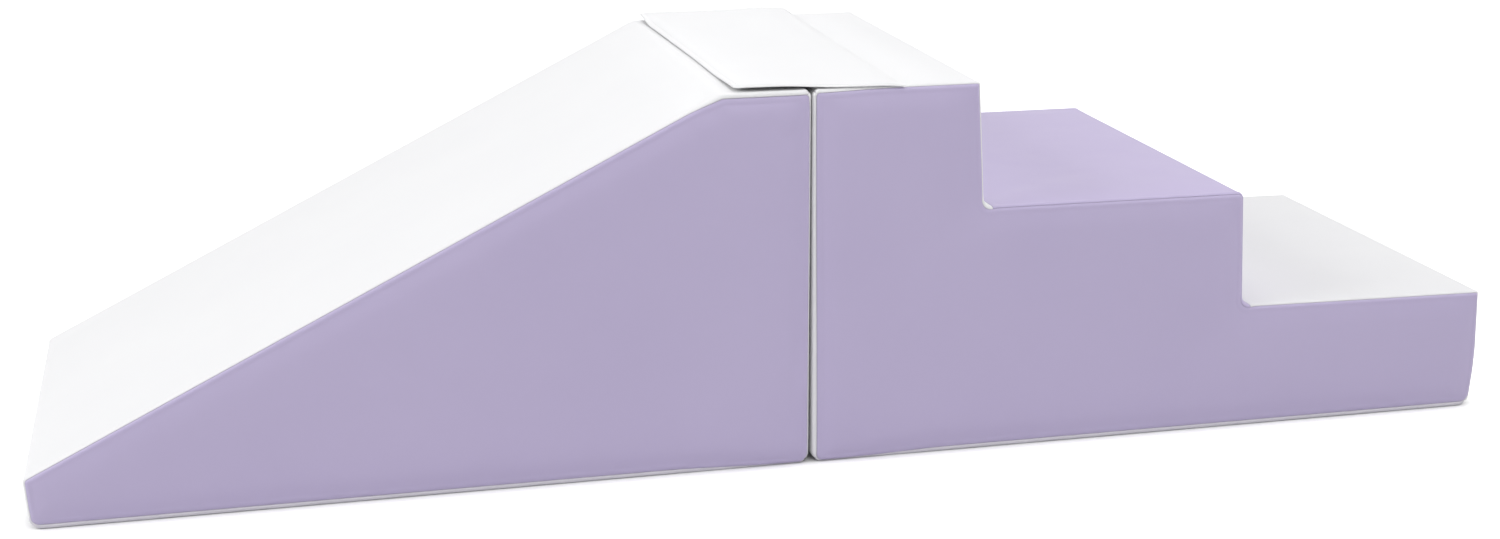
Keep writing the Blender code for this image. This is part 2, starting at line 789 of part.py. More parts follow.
def make_steps():
    """The steps block: the foam slabs, seven cover panels and the zip."""
    left, end = JOIN, JOIN + STEPS_LENGTH
    side = Outline(
        [
            (left + STEPS_SETBACK[1], 0.0, HEEL_RADIUS),
            (left + STEPS_SETBACK[0], HEIGHT, TOP_RADIUS),
            (left + STEP_NOSES[0], HEIGHT, NOSE_RADIUS),
            (left + STEP_FEET[0], HEIGHT * 2 / 3, FOOT_RADIUS),
            (left + STEP_NOSES[1], HEIGHT * 2 / 3, SOFT_NOSE_RADIUS),
            (left + STEP_FEET[1], HEIGHT / 3, FOOT_RADIUS),
            (end, HEIGHT / 3, NOSE_RADIUS),
            (end + LOW_END_BULGE[0], LOW_END_BULGE[1], BULGE_RADIUS),
            (end - LOW_END_DRAW, 0.0, LOW_HEEL_RADIUS),
        ]
    )
    foot, top, nose_1, foot_1, nose_2, foot_2, nose_3, _, heel = range(9)
    foot_seam, top_seam = side.middle(foot), side.middle(top)
    seam_1, seam_2 = side.edge_start[foot_1], side.edge_start[foot_2]
    heel_seam = side.middle(heel)
    flap_seam = side.reach(top, JOIN + FLAP_SEAM)

    def seams(base_wrap):
        return [
            (0.0, ON_EDGE),
            (side.arc_start[top] - WRAP_FADE, ON_EDGE),
            (side.arc_start[top], WRAP),
            (side.edge_start[top], WRAP),
            (flap_seam, ON_EDGE),
            (heel_seam, ON_EDGE),
            (side.edge_start[heel], WRAP),
            (side.edge_start[heel] + WRAP_FADE, base_wrap),
            (side.length - WRAP_FADE, base_wrap),
            (side.length, ON_EDGE),
        ]

    tables = (seams(WRAP), seams(ZIP_WRAP))
    zip_start, zip_end = left + ZIP_MARGIN, end - ZIP_MARGIN - END_STOP_IN
    slotted = with_slot(tables[1], side, heel, zip_start, zip_end)

    panels = []
    around = side.length + foot_seam
    treads = {
        "end": (foot_seam, top_seam, [], SEAM_DIP, SEAM_DIP, white_cover),
        "top": (
            top_seam,
            seam_1,
            [
                (flap_seam, side.arc_start[nose_1]),
                (side.edge_start[nose_1], side.arc_start[foot_1]),
            ],
            SEAM_DIP,
            FOOT_DIP,
            white_cover,
        ),
        "middle": (
            seam_1,
            seam_2,
            [
                (seam_1, side.arc_start[nose_2]),
                (side.edge_start[nose_2], side.arc_start[foot_2]),
            ],
            FOOT_DIP,
            FOOT_DIP,
            lilac_cover,
        ),
        "lower": (
            seam_2,
            heel_seam,
            [(seam_2, side.arc_start[nose_3])],
            FOOT_DIP,
            SEAM_DIP,
            white_cover,
        ),
        "base": (heel_seam, around, [], SEAM_DIP, SEAM_DIP, base_cloth),
    }
    for label, (first, last, crowns, dip, last_dip, finish) in treads.items():
        name = f"steps_{label}_panel"
        dips = (dip, last_dip)
        panels.append(band_panel(name, side, first, last, tables, crowns, dips, finish(name)))
    name = "steps_front_panel"
    panels.append(side_panel(name, side, -1, tables[0], lilac_cover(name)))
    name = "steps_back_panel"
    panels.append(side_panel(name, side, 1, slotted, lilac_cover(name)))
    zip_pieces = make_zip("steps", zip_start, zip_end)
    anchor("steps_block", (JOIN, 0, 0), [*steps_foam(), *panels, *zip_pieces])


def flap_rise(x, y):
    """Rise of the flap above where it is sewn, at x from the join.

    It climbs over the strips, humps over the gap towards the back, where the cloth is
    longer than the way across, and its back corner stands up.
    """
    climb = STRIP_CLIMB * ease((FLAP_SEAM - x) / CLIMB_SPAN)
    hump = GAP_HUMP * math.exp(-(((x - HUMP_AT) / HUMP_SPREAD) ** 2))
    hump *= ease((y - HUMP_ALONG[0]) / HUMP_ALONG[1])
    corner = CORNER_LIFT * ease((-x - CORNER_ACROSS[0]) / CORNER_ACROSS[1])
    corner *= ease((y - CORNER_ALONG[0]) / CORNER_ALONG[1])
    ripple = FLAP_RIPPLE * max(math.cos(y / RIPPLE_SPACING), 0.0) * ease(-x / RIPPLE_FADE)
    return climb + hump + corner + ripple


def flap_sheet(name, inset, underside, hem, thickness, material):
    """A layer of the flap with two round corners and its rim turned down by the hem."""
    reach = WIDTH / 2 - FLAP_SHORT - inset
    left = -FLAP_END + inset
    grid = []
    for x in (left, left + FLAP_CORNER / 4, left + FLAP_CORNER, *FLAP_ROWS, FLAP_SEAM):
        spare = max(FLAP_CORNER - (x - left), 0.0)
        limit = reach - FLAP_CORNER + math.sqrt(FLAP_CORNER**2 - spare**2)
        half = [(y, 0.0) for y in FLAP_COLUMNS] + [(limit - FLAP_CORNER / 4, 0.0), (limit, hem)]
        row = []
        for y, drop in [(-y, drop) for y, drop in half[::-1]] + half[1:]:
            rim = hem if x == left else drop
            z = underside + thickness + flap_rise(x, y) - rim
            row.append(Vector((JOIN + x, y, z)))
        grid.append(row)
    return shell(name, grid_mesh(name, grid), material, thickness)


def make_flap():
    """The flap: a coated top sheet with turned edges, its lining and the hook strip."""
    lining_under = HEIGHT + TOUCH
    cover_under = lining_under + LINING_SKIN + TOUCH
    name = "flap_cover"
    cover = flap_sheet(name, 0.0, cover_under, FLAP_HEM, FLAP_SKIN, white_cover(name))
    name = "flap_lining"
    lining = flap_sheet(name, LINING_INSET, lining_under, 0.0, LINING_SKIN, white_cover(name))
    hooks = hook_and_loop("flap_hook_strip", HEIGHT + 2 * TOUCH + STRIP_THICKNESS)
    hinge = (JOIN + FLAP_SEAM, 0, (lining_under + cover_under + FLAP_SKIN) / 2)
    anchor("flap_hinge", hinge, [cover, lining, hooks])


def clear_scene():
    for thing in list(bpy.data.objects):
        bpy.data.objects.remove(thing, do_unlink=True)
    for name in ("foam_climber", "cutters"):
        bpy.context.scene.collection.children.link(bpy.data.collections.new(name))


clear_scene()
make_slide()
make_steps()
make_flap()
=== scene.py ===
import json
import math

import bmesh
import bpy
import numpy as np
from mathutils import Matrix, Vector, geometry, noise

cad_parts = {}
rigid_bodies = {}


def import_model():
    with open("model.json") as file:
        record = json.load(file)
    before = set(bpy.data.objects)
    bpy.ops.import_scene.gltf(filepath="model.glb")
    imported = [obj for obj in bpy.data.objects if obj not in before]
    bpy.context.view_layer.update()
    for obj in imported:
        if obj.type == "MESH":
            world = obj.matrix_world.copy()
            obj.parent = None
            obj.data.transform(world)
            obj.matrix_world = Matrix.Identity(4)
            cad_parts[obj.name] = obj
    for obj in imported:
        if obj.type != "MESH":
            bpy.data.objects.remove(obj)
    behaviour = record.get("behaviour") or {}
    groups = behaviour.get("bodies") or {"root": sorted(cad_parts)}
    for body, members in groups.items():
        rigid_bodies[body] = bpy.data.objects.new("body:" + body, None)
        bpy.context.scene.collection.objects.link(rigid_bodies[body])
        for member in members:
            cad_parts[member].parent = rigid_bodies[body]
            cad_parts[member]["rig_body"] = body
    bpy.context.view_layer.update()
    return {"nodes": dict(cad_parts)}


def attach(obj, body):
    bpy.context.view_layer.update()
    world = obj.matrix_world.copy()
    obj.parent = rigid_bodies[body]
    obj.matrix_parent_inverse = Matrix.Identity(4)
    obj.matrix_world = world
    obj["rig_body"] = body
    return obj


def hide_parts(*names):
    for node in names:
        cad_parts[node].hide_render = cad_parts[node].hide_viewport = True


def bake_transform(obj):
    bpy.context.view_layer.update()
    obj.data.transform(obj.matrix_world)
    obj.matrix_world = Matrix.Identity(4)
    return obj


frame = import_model()
mm = 0.001
print("frame loaded:", len(frame["nodes"]), "solids")


# camera, as in the photograph

cameraSetup = {
    "lens": 53.5,
    "sensorWidth": 36.0,
    "place": (-0.7304, -2.967, 1.039),
    "yaw": 0.2416,  # turned right from looking straight at the front, in radians
    "pitch": -0.2725,
}


def addObject(name, data):
    made = bpy.data.objects.new(name, data)
    bpy.context.scene.collection.objects.link(made)
    return made


def aim(thing, place, way):
    thing.location = place
    thing.rotation_mode = "QUATERNION"
    thing.rotation_quaternion = way.to_track_quat("-Z", "Y")


def makeCamera(setup):
    data = bpy.data.cameras.new("photoCamera")
    data.lens = setup["lens"]
    data.sensor_width = setup["sensorWidth"]
    camera = addObject("photoCamera", data)
    yaw, pitch = setup["yaw"], setup["pitch"]
    level = math.cos(pitch)
    aim(camera, setup["place"],
        Vector((math.sin(yaw) * level, math.cos(yaw) * level, math.sin(pitch))))
    bpy.context.scene.camera = camera


makeCamera(cameraSetup)
print("camera placed")


# materials

def toLinear(hexColour):
    parts = [int(hexColour[i:i + 2], 16) / 255 for i in (1, 3, 5)]
    linear = [p / 12.92 if p <= 0.04045 else ((p + 0.055) / 1.055) ** 2.4 for p in parts]
    return (*linear, 1.0)


def addNode(tree, kind, inputs=None, **settings):
    # An input is a value, a socket to link, or a node whose first output is linked.
    node = tree.nodes.new(kind)
    for key, value in settings.items():
        setattr(node, key, value)
    for key, value in (inputs or {}).items():
        source = value.outputs[0] if isinstance(value, bpy.types.Node) else value
        if isinstance(source, bpy.types.NodeSocket):
            tree.links.new(source, node.inputs[key])
        else:
            node.inputs[key].default_value = source
    return node


def newMaterial(name):
    made = bpy.data.materials.new(name)
    made.use_nodes = True
    made.node_tree.nodes.clear()
    return made, made.node_tree


def newFinish(name):  # a material, its tree, and the place on the piece that patterns read
    made, tree = newMaterial(name)
    return made, tree, addNode(tree, "ShaderNodeTexCoord").outputs["Object"]


def endFinish(tree, height, strength, depth, inputs, under=None):
    relief = {"Height": height, "Strength": strength, "Distance": depth}
    if under:
        relief["Normal"] = under
    raised = addNode(tree, "ShaderNodeBump", relief)
    shader = addNode(tree, "ShaderNodeBsdfPrincipled", {**inputs, "Normal": raised})
    addNode(tree, "ShaderNodeOutputMaterial", {"Surface": shader})


coatedLook = {
    "grain": 1.1 * mm,  # across one pebble of the calendered grain
    "grainDepth": 0.05 * mm,
    "softness": 48 * mm,  # spacing of the slow unevenness over the foam
    "softDepth": 0.55 * mm,
    "roughness": (0.44, 0.56),
}


def coatedFabric(name, colour, shadeColour, seamShadeColour):
    # Knitted polyester with a calendered vinyl face. It reads as smooth and satin from afar,
    # with a fine pebble close up and a slow unevenness where it lies over the foam.
    look = coatedLook
    made, tree, place = newFinish(name)
    drift = addNode(tree, "ShaderNodeTexNoise", {
        "Vector": place, "Scale": 5.5, "Detail": 2.0, "Roughness": 0.5})
    tone = addNode(tree, "ShaderNodeMix", {
        0: drift, 6: toLinear(colour), 7: toLinear(shadeColour)}, data_type="RGBA")
    # painted shade: near each seam and over the turned-in allowance the colour darkens towards a third
    # colour, for the shade in the seam's dip
    seam = addNode(tree, "ShaderNodeAttribute", attribute_name="paintedSeamShade")
    seamShaded = addNode(tree, "ShaderNodeMix", {
        0: seam.outputs["Fac"], 6: tone.outputs[2], 7: toLinear(seamShadeColour)}, data_type="RGBA")
    waves = addNode(tree, "ShaderNodeTexNoise", {
        "Vector": place, "Scale": 1 / look["softness"], "Detail": 1.5, "Roughness": 0.45})
    soft = addNode(tree, "ShaderNodeBump", {
        "Height": waves, "Strength": 0.5, "Distance": look["softDepth"]})
    pebble = addNode(tree, "ShaderNodeTexVoronoi", {
        "Vector": place, "Scale": 1 / look["grain"], "Smoothness": 0.7}, feature="SMOOTH_F1")
    low, high = look["roughness"]
    gloss = addNode(tree, "ShaderNodeMapRange", {"Value": waves, "To Min": low, "To Max": high})
    endFinish(tree, pebble, 0.6, look["grainDepth"], {
        "IOR": 1.5, "Base Color": seamShaded.outputs[2], "Roughness": gloss}, soft)
    return made


def wovenCloth(name, colour, shadeColour, thread, depth, roughness):
    # Plain woven polyester: two sets of threads that cross. It reads as matt, with an even
    # fine mesh. The threads are drawn as wide as given so that they still show.
    made, tree, place = newFinish(name)
    warp, weft = (addNode(tree, "ShaderNodeTexWave", {
        "Vector": place, "Scale": math.pi / thread / 10, "Distortion": 0.4, "Detail": 1.0,
    }, bands_direction=way).outputs["Fac"] for way in "XY")
    both = addNode(tree, "ShaderNodeMath", {0: warp, 1: weft}, operation="MULTIPLY")
    tone = addNode(tree, "ShaderNodeMix", {
        0: both, 6: toLinear(shadeColour), 7: toLinear(colour)}, data_type="RGBA")
    endFinish(tree, both, 0.7, depth, {
        "Roughness": roughness, "Sheen Weight": 0.15, "Base Color": tone.outputs[2]})
    return made


def cutFoam(name):
    # Polyurethane foam cut on a band saw: matt and chalky, open to pores of about a millimetre.
    made, tree, place = newFinish(name)
    pores = addNode(tree, "ShaderNodeTexVoronoi", {"Vector": place, "Scale": 1 / (1.4 * mm)})
    tone = addNode(tree, "ShaderNodeMix", {
        0: pores, 6: toLinear("#d8d2bd"), 7: toLinear("#efeadb")}, data_type="RGBA")
    endFinish(tree, pores, 0.8, 0.3 * mm, {"Roughness": 0.95, "Base Color": tone.outputs[2]})
    return made


def mouldedNylon(name, colour):
    # Nylon monofilament as it leaves the die: slightly waxy, with a faint streak along it.
    made, tree, place = newFinish(name)
    streak = addNode(tree, "ShaderNodeTexNoise", {"Vector": place, "Scale": 900.0, "Detail": 1.0})
    gloss = addNode(tree, "ShaderNodeMapRange", {"Value": streak, "To Min": 0.32, "To Max": 0.48})
    endFinish(tree, streak, 0.3, 0.03 * mm, {
        "Base Color": toLinear(colour), "IOR": 1.53, "Roughness": gloss})
    return made


def nickelPlatedZinc(name):
    # Die-cast zinc, tumbled and nickel plated: a soft bright metal with faint cloudy marks.
    made, tree, place = newFinish(name)
    cloud = addNode(tree, "ShaderNodeTexNoise", {"Vector": place, "Scale": 420.0, "Detail": 4.0})
    gloss = addNode(tree, "ShaderNodeMapRange", {"Value": cloud, "To Min": 0.22, "To Max": 0.42})
    endFinish(tree, cloud, 0.25, 0.02 * mm, {
        "Base Color": toLinear("#c9ccd0"), "Metallic": 1.0, "Roughness": gloss})
    return made


# the third colour of each coated cloth is the painted shade along its seams
materials = {
    "lilac": coatedFabric("vinylCoatedClothLilac", "#c6bbdc", "#c1b6d8", "#afa5c4"),
    "white": coatedFabric("vinylCoatedClothWhite", "#f2f2f3", "#eeeef0", "#dddbe0"),
    "backing": wovenCloth("knittedPolyesterBacking", "#e9e8e6", "#d3d2cf", 0.9 * mm, 0.1 * mm, 0.9),
    "base": wovenCloth("wovenPolyesterBaseCloth", "#f0eef4", "#e0dde6", 1.2 * mm, 0.12 * mm, 0.8),
    "lining": wovenCloth("wovenPolyesterLining", "#eeeeee", "#dcdcdc", 0.9 * mm, 0.1 * mm, 0.85),
    "tape": wovenCloth("wovenZipTape", "#e4e3e6", "#cbcace", 0.8 * mm, 0.1 * mm, 0.85),
    "foam": cutFoam("bandSawnPolyurethaneFoam"),
    "coil": mouldedNylon("nylonZipCoil", "#e6e5e8"),
    "hooks": mouldedNylon("nylonHookTape", "#efefef"),
    "loops": wovenCloth("brushedNylonLoopTape", "#f0f0f0", "#d9d9d9", 1.0 * mm, 0.2 * mm, 0.95),
    "thread": mouldedNylon("bondedPolyesterThread", "#efeff1"),
    "metal": nickelPlatedZinc("nickelPlatedDieCastZinc"),
}
print("materials made:", len(materials))


# side views of the two blocks, and how the covers go round their edges

blockShape = {
    "height": 0.500,
    "width": 0.600,
    "slideLength": 0.990,
    "slideToe": 0.065,
    "slideTop": 0.1175,
    "stepsLength": 0.972,
    "stepNoses": (0.2245, 0.6035, 0.972),
    "stepFeet": (0.2345, 0.6115),
    "treadLift": (-1.5 * mm, 6 * mm, 1.5 * mm),  # nose 2, foot 2 and nose 3, off even treads
    "slideSetback": (0.8 * mm, 1.2 * mm),
    "stepsSetback": (0.9 * mm, 3.2 * mm),
    "toeDraw": 4 * mm,
    "lowEndDraw": 1.0 * mm,
    "lowEndBulge": (4.2 * mm, 0.070),  # how far the low end swells out, and how high up
}
join = (blockShape["slideLength"] - blockShape["stepsLength"]) / 2

cover = {
    "thickness": 1.2 * mm,
    "edgeRadius": 6 * mm,
    "seamGap": 0.16 * mm,
    "seamDip": 0.7 * mm,
    "footDip": 0.5 * mm,
    "toeDip": 0.35 * mm,
    "rollWidth": 4 * mm,
    "puff": 0.6 * mm,  # how far the roll beside a seam stands up
    "puffAt": 5.5 * mm,
    "puffSpread": 3.2 * mm,
    "gapPuff": 0.35,  # share of that on the faces at the gap, which all but touch
    "pucker": 0.45,  # share by which the stitches draw the roll in and let it out
    "puckerSpacing": 17 * mm,
    "finePucker": (0.35, 6 * mm),  # its share of the other, and its spacing
    "tuck": 0.5 * mm,  # how deep the seam allowance turns in
    "crown": 3 * mm,
    "crownReach": 60 * mm,
    "sideCrownReach": 30 * mm,
    "zipSlot": 8 * mm,
    "slotTaper": 10 * mm,
}
seamShown = {  # how much of the band a front view shows between the outline and the seam
    "edge": 1.76 * mm,  # half way round the rounded edge
    "base": 6.5 * mm,
    "zip": 12 * mm,
    "toe": 2.0 * mm,
    "slideTop": 6.0 * mm,
    "slideGap": 1.8 * mm,
    "stepsTop": 4.2 * mm,
    "stepsGap": 4.2 * mm,
    "stepsGapFoot": 6.4 * mm,
    "riser": 1.8 * mm,
    "innerCorner": 4.4 * mm,
    "gapCorner": 1.2 * mm,
}
meshSteps = {
    "seam": [s * mm for s in (0.0, 0.5, 1.2, 2.2, 3.4, 4.8, 6.4, 8.4, 11, 15, 20, 26)],
    "spacing": 13 * mm,
    "arc": math.radians(13),
    "nearest": 0.9 * mm,
    "held": 9 * mm,  # cloth this near a seam doesn't move when it settles
    "evened": 14,  # rounds in which a side panel's swell is evened out
    "heldRadius": 0.05,  # a rounded corner under this radius doesn't move either
    "pastCorner": 3 * mm,
    "underFlap": (4 * mm, 10 * mm),  # nor does the flat top, up to this far past the flap's seam
    "sunk": 0.2 * mm,  # nor a hollow that is deeper than this
}
fromSeam = [(0.0, cover["tuck"])] + [(s, 0.0) for s in meshSteps["seam"]]  # distance, tuck
halfWidth = blockShape["width"] / 2
sidePlane = halfWidth - cover["crown"]
quarterRoll = math.pi / 2 * cover["edgeRadius"]


def clamp(value):
    return min(max(value, 0.0), 1.0)


def ease(value):
    value = clamp(value)
    return value * value * (3 - 2 * value)


class SideView:  # a closed outline in XZ, clockwise from the front, with a radius per corner

    def __init__(self, corners):
        self.corners = [Vector(c[:2]) for c in corners]
        self.radii = [c[2] for c in corners]
        count = len(corners)
        ahead = [self.corners[(i + 1) % count] - self.corners[i] for i in range(count)]
        self.heading = [edge.normalized() for edge in ahead]
        self.turn = []
        for i in range(count):
            before, after = self.heading[i - 1], self.heading[i]
            self.turn.append(math.atan2(before.cross(after), before.dot(after)))
        self.arcStart, self.edgeStart, length = [], [], 0.0
        for i in range(count):
            self.arcStart.append(length)
            length += self.radii[i] * abs(self.turn[i])
            self.edgeStart.append(length)
            length += ahead[i].length - self.cut(i) - self.cut((i + 1) % count)
        self.length = length

    def cut(self, i):
        return self.radii[i] * math.tan(abs(self.turn[i]) / 2)

    def middle(self, i):
        return (self.arcStart[i] + self.edgeStart[i]) / 2

    def rounding(self, i, inset):  # radius of a convex corner at an inset, never a sharp one
        count = len(self.corners)
        room = 1.0
        for a, b in ((i - 1, i), (i, (i + 1) % count)):
            left = (self.corners[b] - self.corners[a]).length
            for k in (a, b):
                left += math.tan(self.turn[k] / 2) * (inset if self.turn[k] < 0 else inset + self.radii[k])
            room = min(room, left)
        widest = 0.45 * room / math.tan(abs(self.turn[i]) / 2)
        return max(self.radii[i] - inset, 1 * mm, min(0.6 * inset, widest))

    def cornerPoint(self, i, share, inset):
        turn, radius = self.turn[i], self.radii[i]
        heading = self.heading[i - 1]
        entry = Vector((-heading.y, heading.x))
        normal = Matrix.Rotation(turn * share, 2) @ entry
        middle = Matrix.Rotation(turn / 2, 2) @ entry
        if turn < 0:
            rounding = self.rounding(i, inset)
            centre = self.corners[i] - middle * ((inset + rounding) / math.cos(turn / 2))
            return centre + normal * rounding, normal
        centre = self.corners[i] + middle * (radius / math.cos(turn / 2))
        return centre - normal * (radius + inset), normal

    def edge(self, i, inset):
        following = (i + 1) % len(self.corners)
        end = self.arcStart[following] if following else self.length
        near, _ = self.cornerPoint(i, 1.0, inset)
        far, _ = self.cornerPoint(following, 0.0, inset)
        return end - self.edgeStart[i], near, far

    def reach(self, i, x, inset=0.0):
        span, near, far = self.edge(i, inset)
        return self.edgeStart[i] + span * (x - near.x) / (far.x - near.x)

    def cornerAt(self, length):
        return max(k for k, s in enumerate(self.arcStart) if s <= length % self.length + 1e-9)

    def at(self, length, inset=0.0):
        length %= self.length
        i = self.cornerAt(length)
        if length <= self.edgeStart[i]:
            arc = max(self.edgeStart[i] - self.arcStart[i], 1e-9)
            return self.cornerPoint(i, (length - self.arcStart[i]) / arc, inset)[0]
        span, near, far = self.edge(i, inset)
        return near.lerp(far, (length - self.edgeStart[i]) / span)

    def rows(self, start, end):  # where a panel needs points: close on corners, wide on flats
        marks = {start, end}
        for mark in self.arcStart + self.edgeStart:
            marks |= {m for m in (mark, mark + self.length) if start < m < end}
        marks = sorted(marks)
        found = []
        for a, b in zip(marks, marks[1:]):
            middle = (a + b) / 2 % self.length
            i = self.cornerAt(middle)
            step = meshSteps["spacing"]
            if middle < self.edgeStart[i]:
                step = max(self.radii[i] * meshSteps["arc"], 0.8 * mm)
            parts = max(1, math.ceil((b - a) / step))
            found += [a + (b - a) * k / parts for k in range(parts + 1)]
        return found


def edgeSection(length):  # depths below the band's face and the side's, and the normal's shares
    radius = cover["edgeRadius"]
    if length <= 0:
        return 0.0, radius - length, 1.0, 0.0
    if length >= quarterRoll:
        return radius + length - quarterRoll, 0.0, 0.0, 1.0
    angle = length / radius
    return radius * (1 - math.cos(angle)), radius * (1 - math.sin(angle)), math.cos(angle), math.sin(angle)


def seamLength(shown):
    radius = cover["edgeRadius"]
    if shown < radius:
        return radius * math.acos(1 - shown / radius)
    return quarterRoll + shown - radius


def seamAt(view, table, length):
    length %= view.length
    for (a, wrapA), (b, wrapB) in zip(table, table[1:]):
        if length <= b:
            share = ease((length - a) / (b - a))
            return seamLength(wrapA) * (1 - share) + seamLength(wrapB) * share
    return seamLength(table[-1][1])


def seamSteps(table, lap=0.0):  # the rows that a seam needs where it nears or leaves the edge
    return [a + (b - a) * k / 5 + lap for (a, wrapA), (b, wrapB) in zip(table, table[1:])
            if wrapA != wrapB for k in range(6)]


def withSlot(table, view, edge, start, end):
    slot = seamShown["zip"] + cover["zipSlot"]
    first, last = sorted(view.reach(edge, x, slot) for x in (start, end))
    ends = [(first - cover["slotTaper"], seamShown["zip"]), (first, slot)]
    ends += [(last, slot), (last + cover["slotTaper"], seamShown["zip"])]
    return sorted(table + ends)


def beside(distance, dip, along, which, fullness=1.0):
    # Height of the cover beside a seam: it dips into the stitches, then stands up in a soft
    # roll that the stitches draw in and let out along its length.
    share, spacing = cover["finePucker"]
    pull = noise.noise(Vector((along / cover["puckerSpacing"], which * 7.3, 1.7)))
    finer = noise.noise(Vector((along / spacing, which * 3.1, 9.2)))
    sink = -dip * (1 - clamp(distance / cover["rollWidth"])) ** 3
    off = (distance - cover["puffAt"]) / cover["puffSpread"]
    puff = cover["puff"] * fullness * dip / cover["seamDip"]
    return sink, puff * math.exp(-off * off) * (1 + cover["pucker"] * (pull + share * finer))


def larger(a, b):  # the larger of two heights, without a crease where they change over
    return (a ** 4 + b ** 4) ** 0.25


def seamHeight(across, alongSeam, cross, crossDip, alongCross, which, fullness):
    sinkA, riseA = beside(across, cover["seamDip"], alongSeam, which, fullness)
    sinkB, riseB = beside(cross, crossDip, alongCross, which + 0.5, fullness)
    roll = cover["rollWidth"]
    rise = larger(riseA * ease(cross / roll), riseB * ease(across / roll))
    return rise - larger(sinkA, sinkB)


def keepApart(wanted, kept, low, high, nearest):
    rows = list(kept)
    for length in sorted(wanted):
        if low < length < high and min(abs(length - row) for row in rows) > nearest:
            rows.append(length)
    return sorted(rows)


def finishMesh(name, surface):
    mesh = bpy.data.meshes.new(name)
    surface.to_mesh(mesh)
    surface.free()
    mesh.polygons.foreach_set("use_smooth", [True] * len(mesh.polygons))
    return addObject(name, mesh)


def finishPanel(name, surface, seamShadeDistance, held):
    piece = finishMesh(name, surface)
    # painted shade along the seams: full at the seam and on the turned-in allowance, fading out within a
    # millimetre or two
    seam = piece.data.attributes.new("paintedSeamShade", "FLOAT", "POINT")
    seam.data.foreach_set("value", [math.exp(-(max(d, 0.0) / (0.7 * mm)) ** 2) for d in seamShadeDistance])
    group = piece.vertex_groups.new(name="held")
    group.add([i for i, stays in enumerate(held) if stays], 1.0, "REPLACE")
    return piece


def skin(surface, grid):  # faces between the rows of a grid
    for near, far in zip(grid, grid[1:]):
        for k in range(len(near) - 1):
            surface.faces.new((near[k], far[k], far[k + 1], near[k + 1]))


def bandPanel(name, view, start, end, tables, crowns, dips, fullness=1.0):
    # A panel that runs across the block, from one cross seam to the next.
    start, end = start + cover["seamGap"] / 2, end - cover["seamGap"] / 2
    seamRows = [start + s for s in meshSteps["seam"]] + [end - s for s in meshSteps["seam"]]
    seamRows = [s for s in seamRows if start <= s <= end]
    seamRows = keepApart(seamRows, [start, end], start, end, 0.3 * mm)
    wanted = view.rows(start, end)
    for table in tables:
        wanted += seamSteps(table) + seamSteps(table, view.length)
    lengths = keepApart(wanted, seamRows, start, end, meshSteps["nearest"])
    rows = [(start, cover["tuck"])] + [(s, 0.0) for s in lengths] + [(end, cover["tuck"])]
    surface = bmesh.new()
    seamShadeDistance, held, grid = [], [], []
    hollow = treadHollows.get(name)
    last = meshSteps["seam"][-1]
    middle = math.ceil((sidePlane - last) / meshSteps["spacing"])
    for length, tuckedRow in rows:
        fromEnd = min(length - start, end - length)
        crossDip = dips[0] if length - start < end - length else dips[1]
        swell = cover["crown"] * sum(
            ease((length - a) / cover["crownReach"]) * ease((b - length) / cover["crownReach"])
            for a, b in crowns)
        i = view.cornerAt(length)
        cornerEnd = view.edgeStart[i] + meshSteps["pastCorner"]
        onCorner = view.radii[i] < meshSteps["heldRadius"] and length % view.length < cornerEnd
        at = view.at(length)
        below, past = meshSteps["underFlap"]
        stays = at.y > flatTop - below and at.x < join + flapShape["seam"] + past
        row = []
        for side, table in zip((-1, 1), tables):
            seam = seamAt(view, table, length) - cover["seamGap"] / 2
            half = sidePlane - cover["edgeRadius"] + seam
            steps = fromSeam + [(last + (half - last) * k / middle, 0.0) for k in range(1, middle + 1)]
            if side > 0:
                steps = steps[:-1][::-1]
            for distance, tucked in steps:
                depth, inward, up, out = edgeSection(seam - distance)
                y = side * (sidePlane - inward)
                height = seamHeight(distance, length, fromEnd, crossDip, y, side, fullness)
                height += swell * ease((distance - seam) / cover["crownReach"])
                sunk = hollowDepth(hollow, at.x, y, height) if hollow and up > 0.9 else 0.0
                height -= sunk
                height -= tucked + tuckedRow
                point = view.at(length, depth - height * up)
                row.append(surface.verts.new((point.x, y + side * height * out, point.y)))
                seamShadeDistance.append(-1.0 if tucked + tuckedRow else min(distance, fromEnd))
                held.append(min(distance, fromEnd) < meshSteps["held"] or onCorner or stays
                            or sunk > meshSteps["sunk"])
        grid.append(row)
    skin(surface, grid)
    return finishPanel(name, surface, seamShadeDistance, held)


treadHollows = {  # soft dents in the treads, behind the roll along their front edge
    "stepsMiddleCover": {"corner": 3, "depth": 6.5 * mm, "roll": 0.026, "spread": 0.52,
                         "flank": 0.036, "back": 0.230, "along": (0.055, 0.150)},
    "stepsLowerCover": {"corner": 5, "depth": 3.4 * mm, "roll": 0.022, "spread": 0.30,
                        "flank": 0.030, "back": 0.200, "along": (0.045, 0.110)},
}
hollowStart = (0.006, 0.030)  # from the foot of the riser, and in what length it deepens
foamUnder = 1.0 * mm


def hollowDepth(hollow, x, y, height):  # how far the cover sinks, down to the foam at most
    u = x - stepsView.corners[hollow["corner"]].x
    s = y + sidePlane - hollow["roll"] - hollow["spread"] * u
    start, span = hollowStart
    near, fade = hollow["along"]
    along = ease((u - start) / span) * (1 - ease((u - near) / fade))
    across = ease(s / hollow["flank"]) * (1 - ease((s - hollow["flank"]) / hollow["back"]))
    room = max(height + foamUnder, 1e-6)
    return room * (1 - math.exp(-hollow["depth"] * along * across / room))


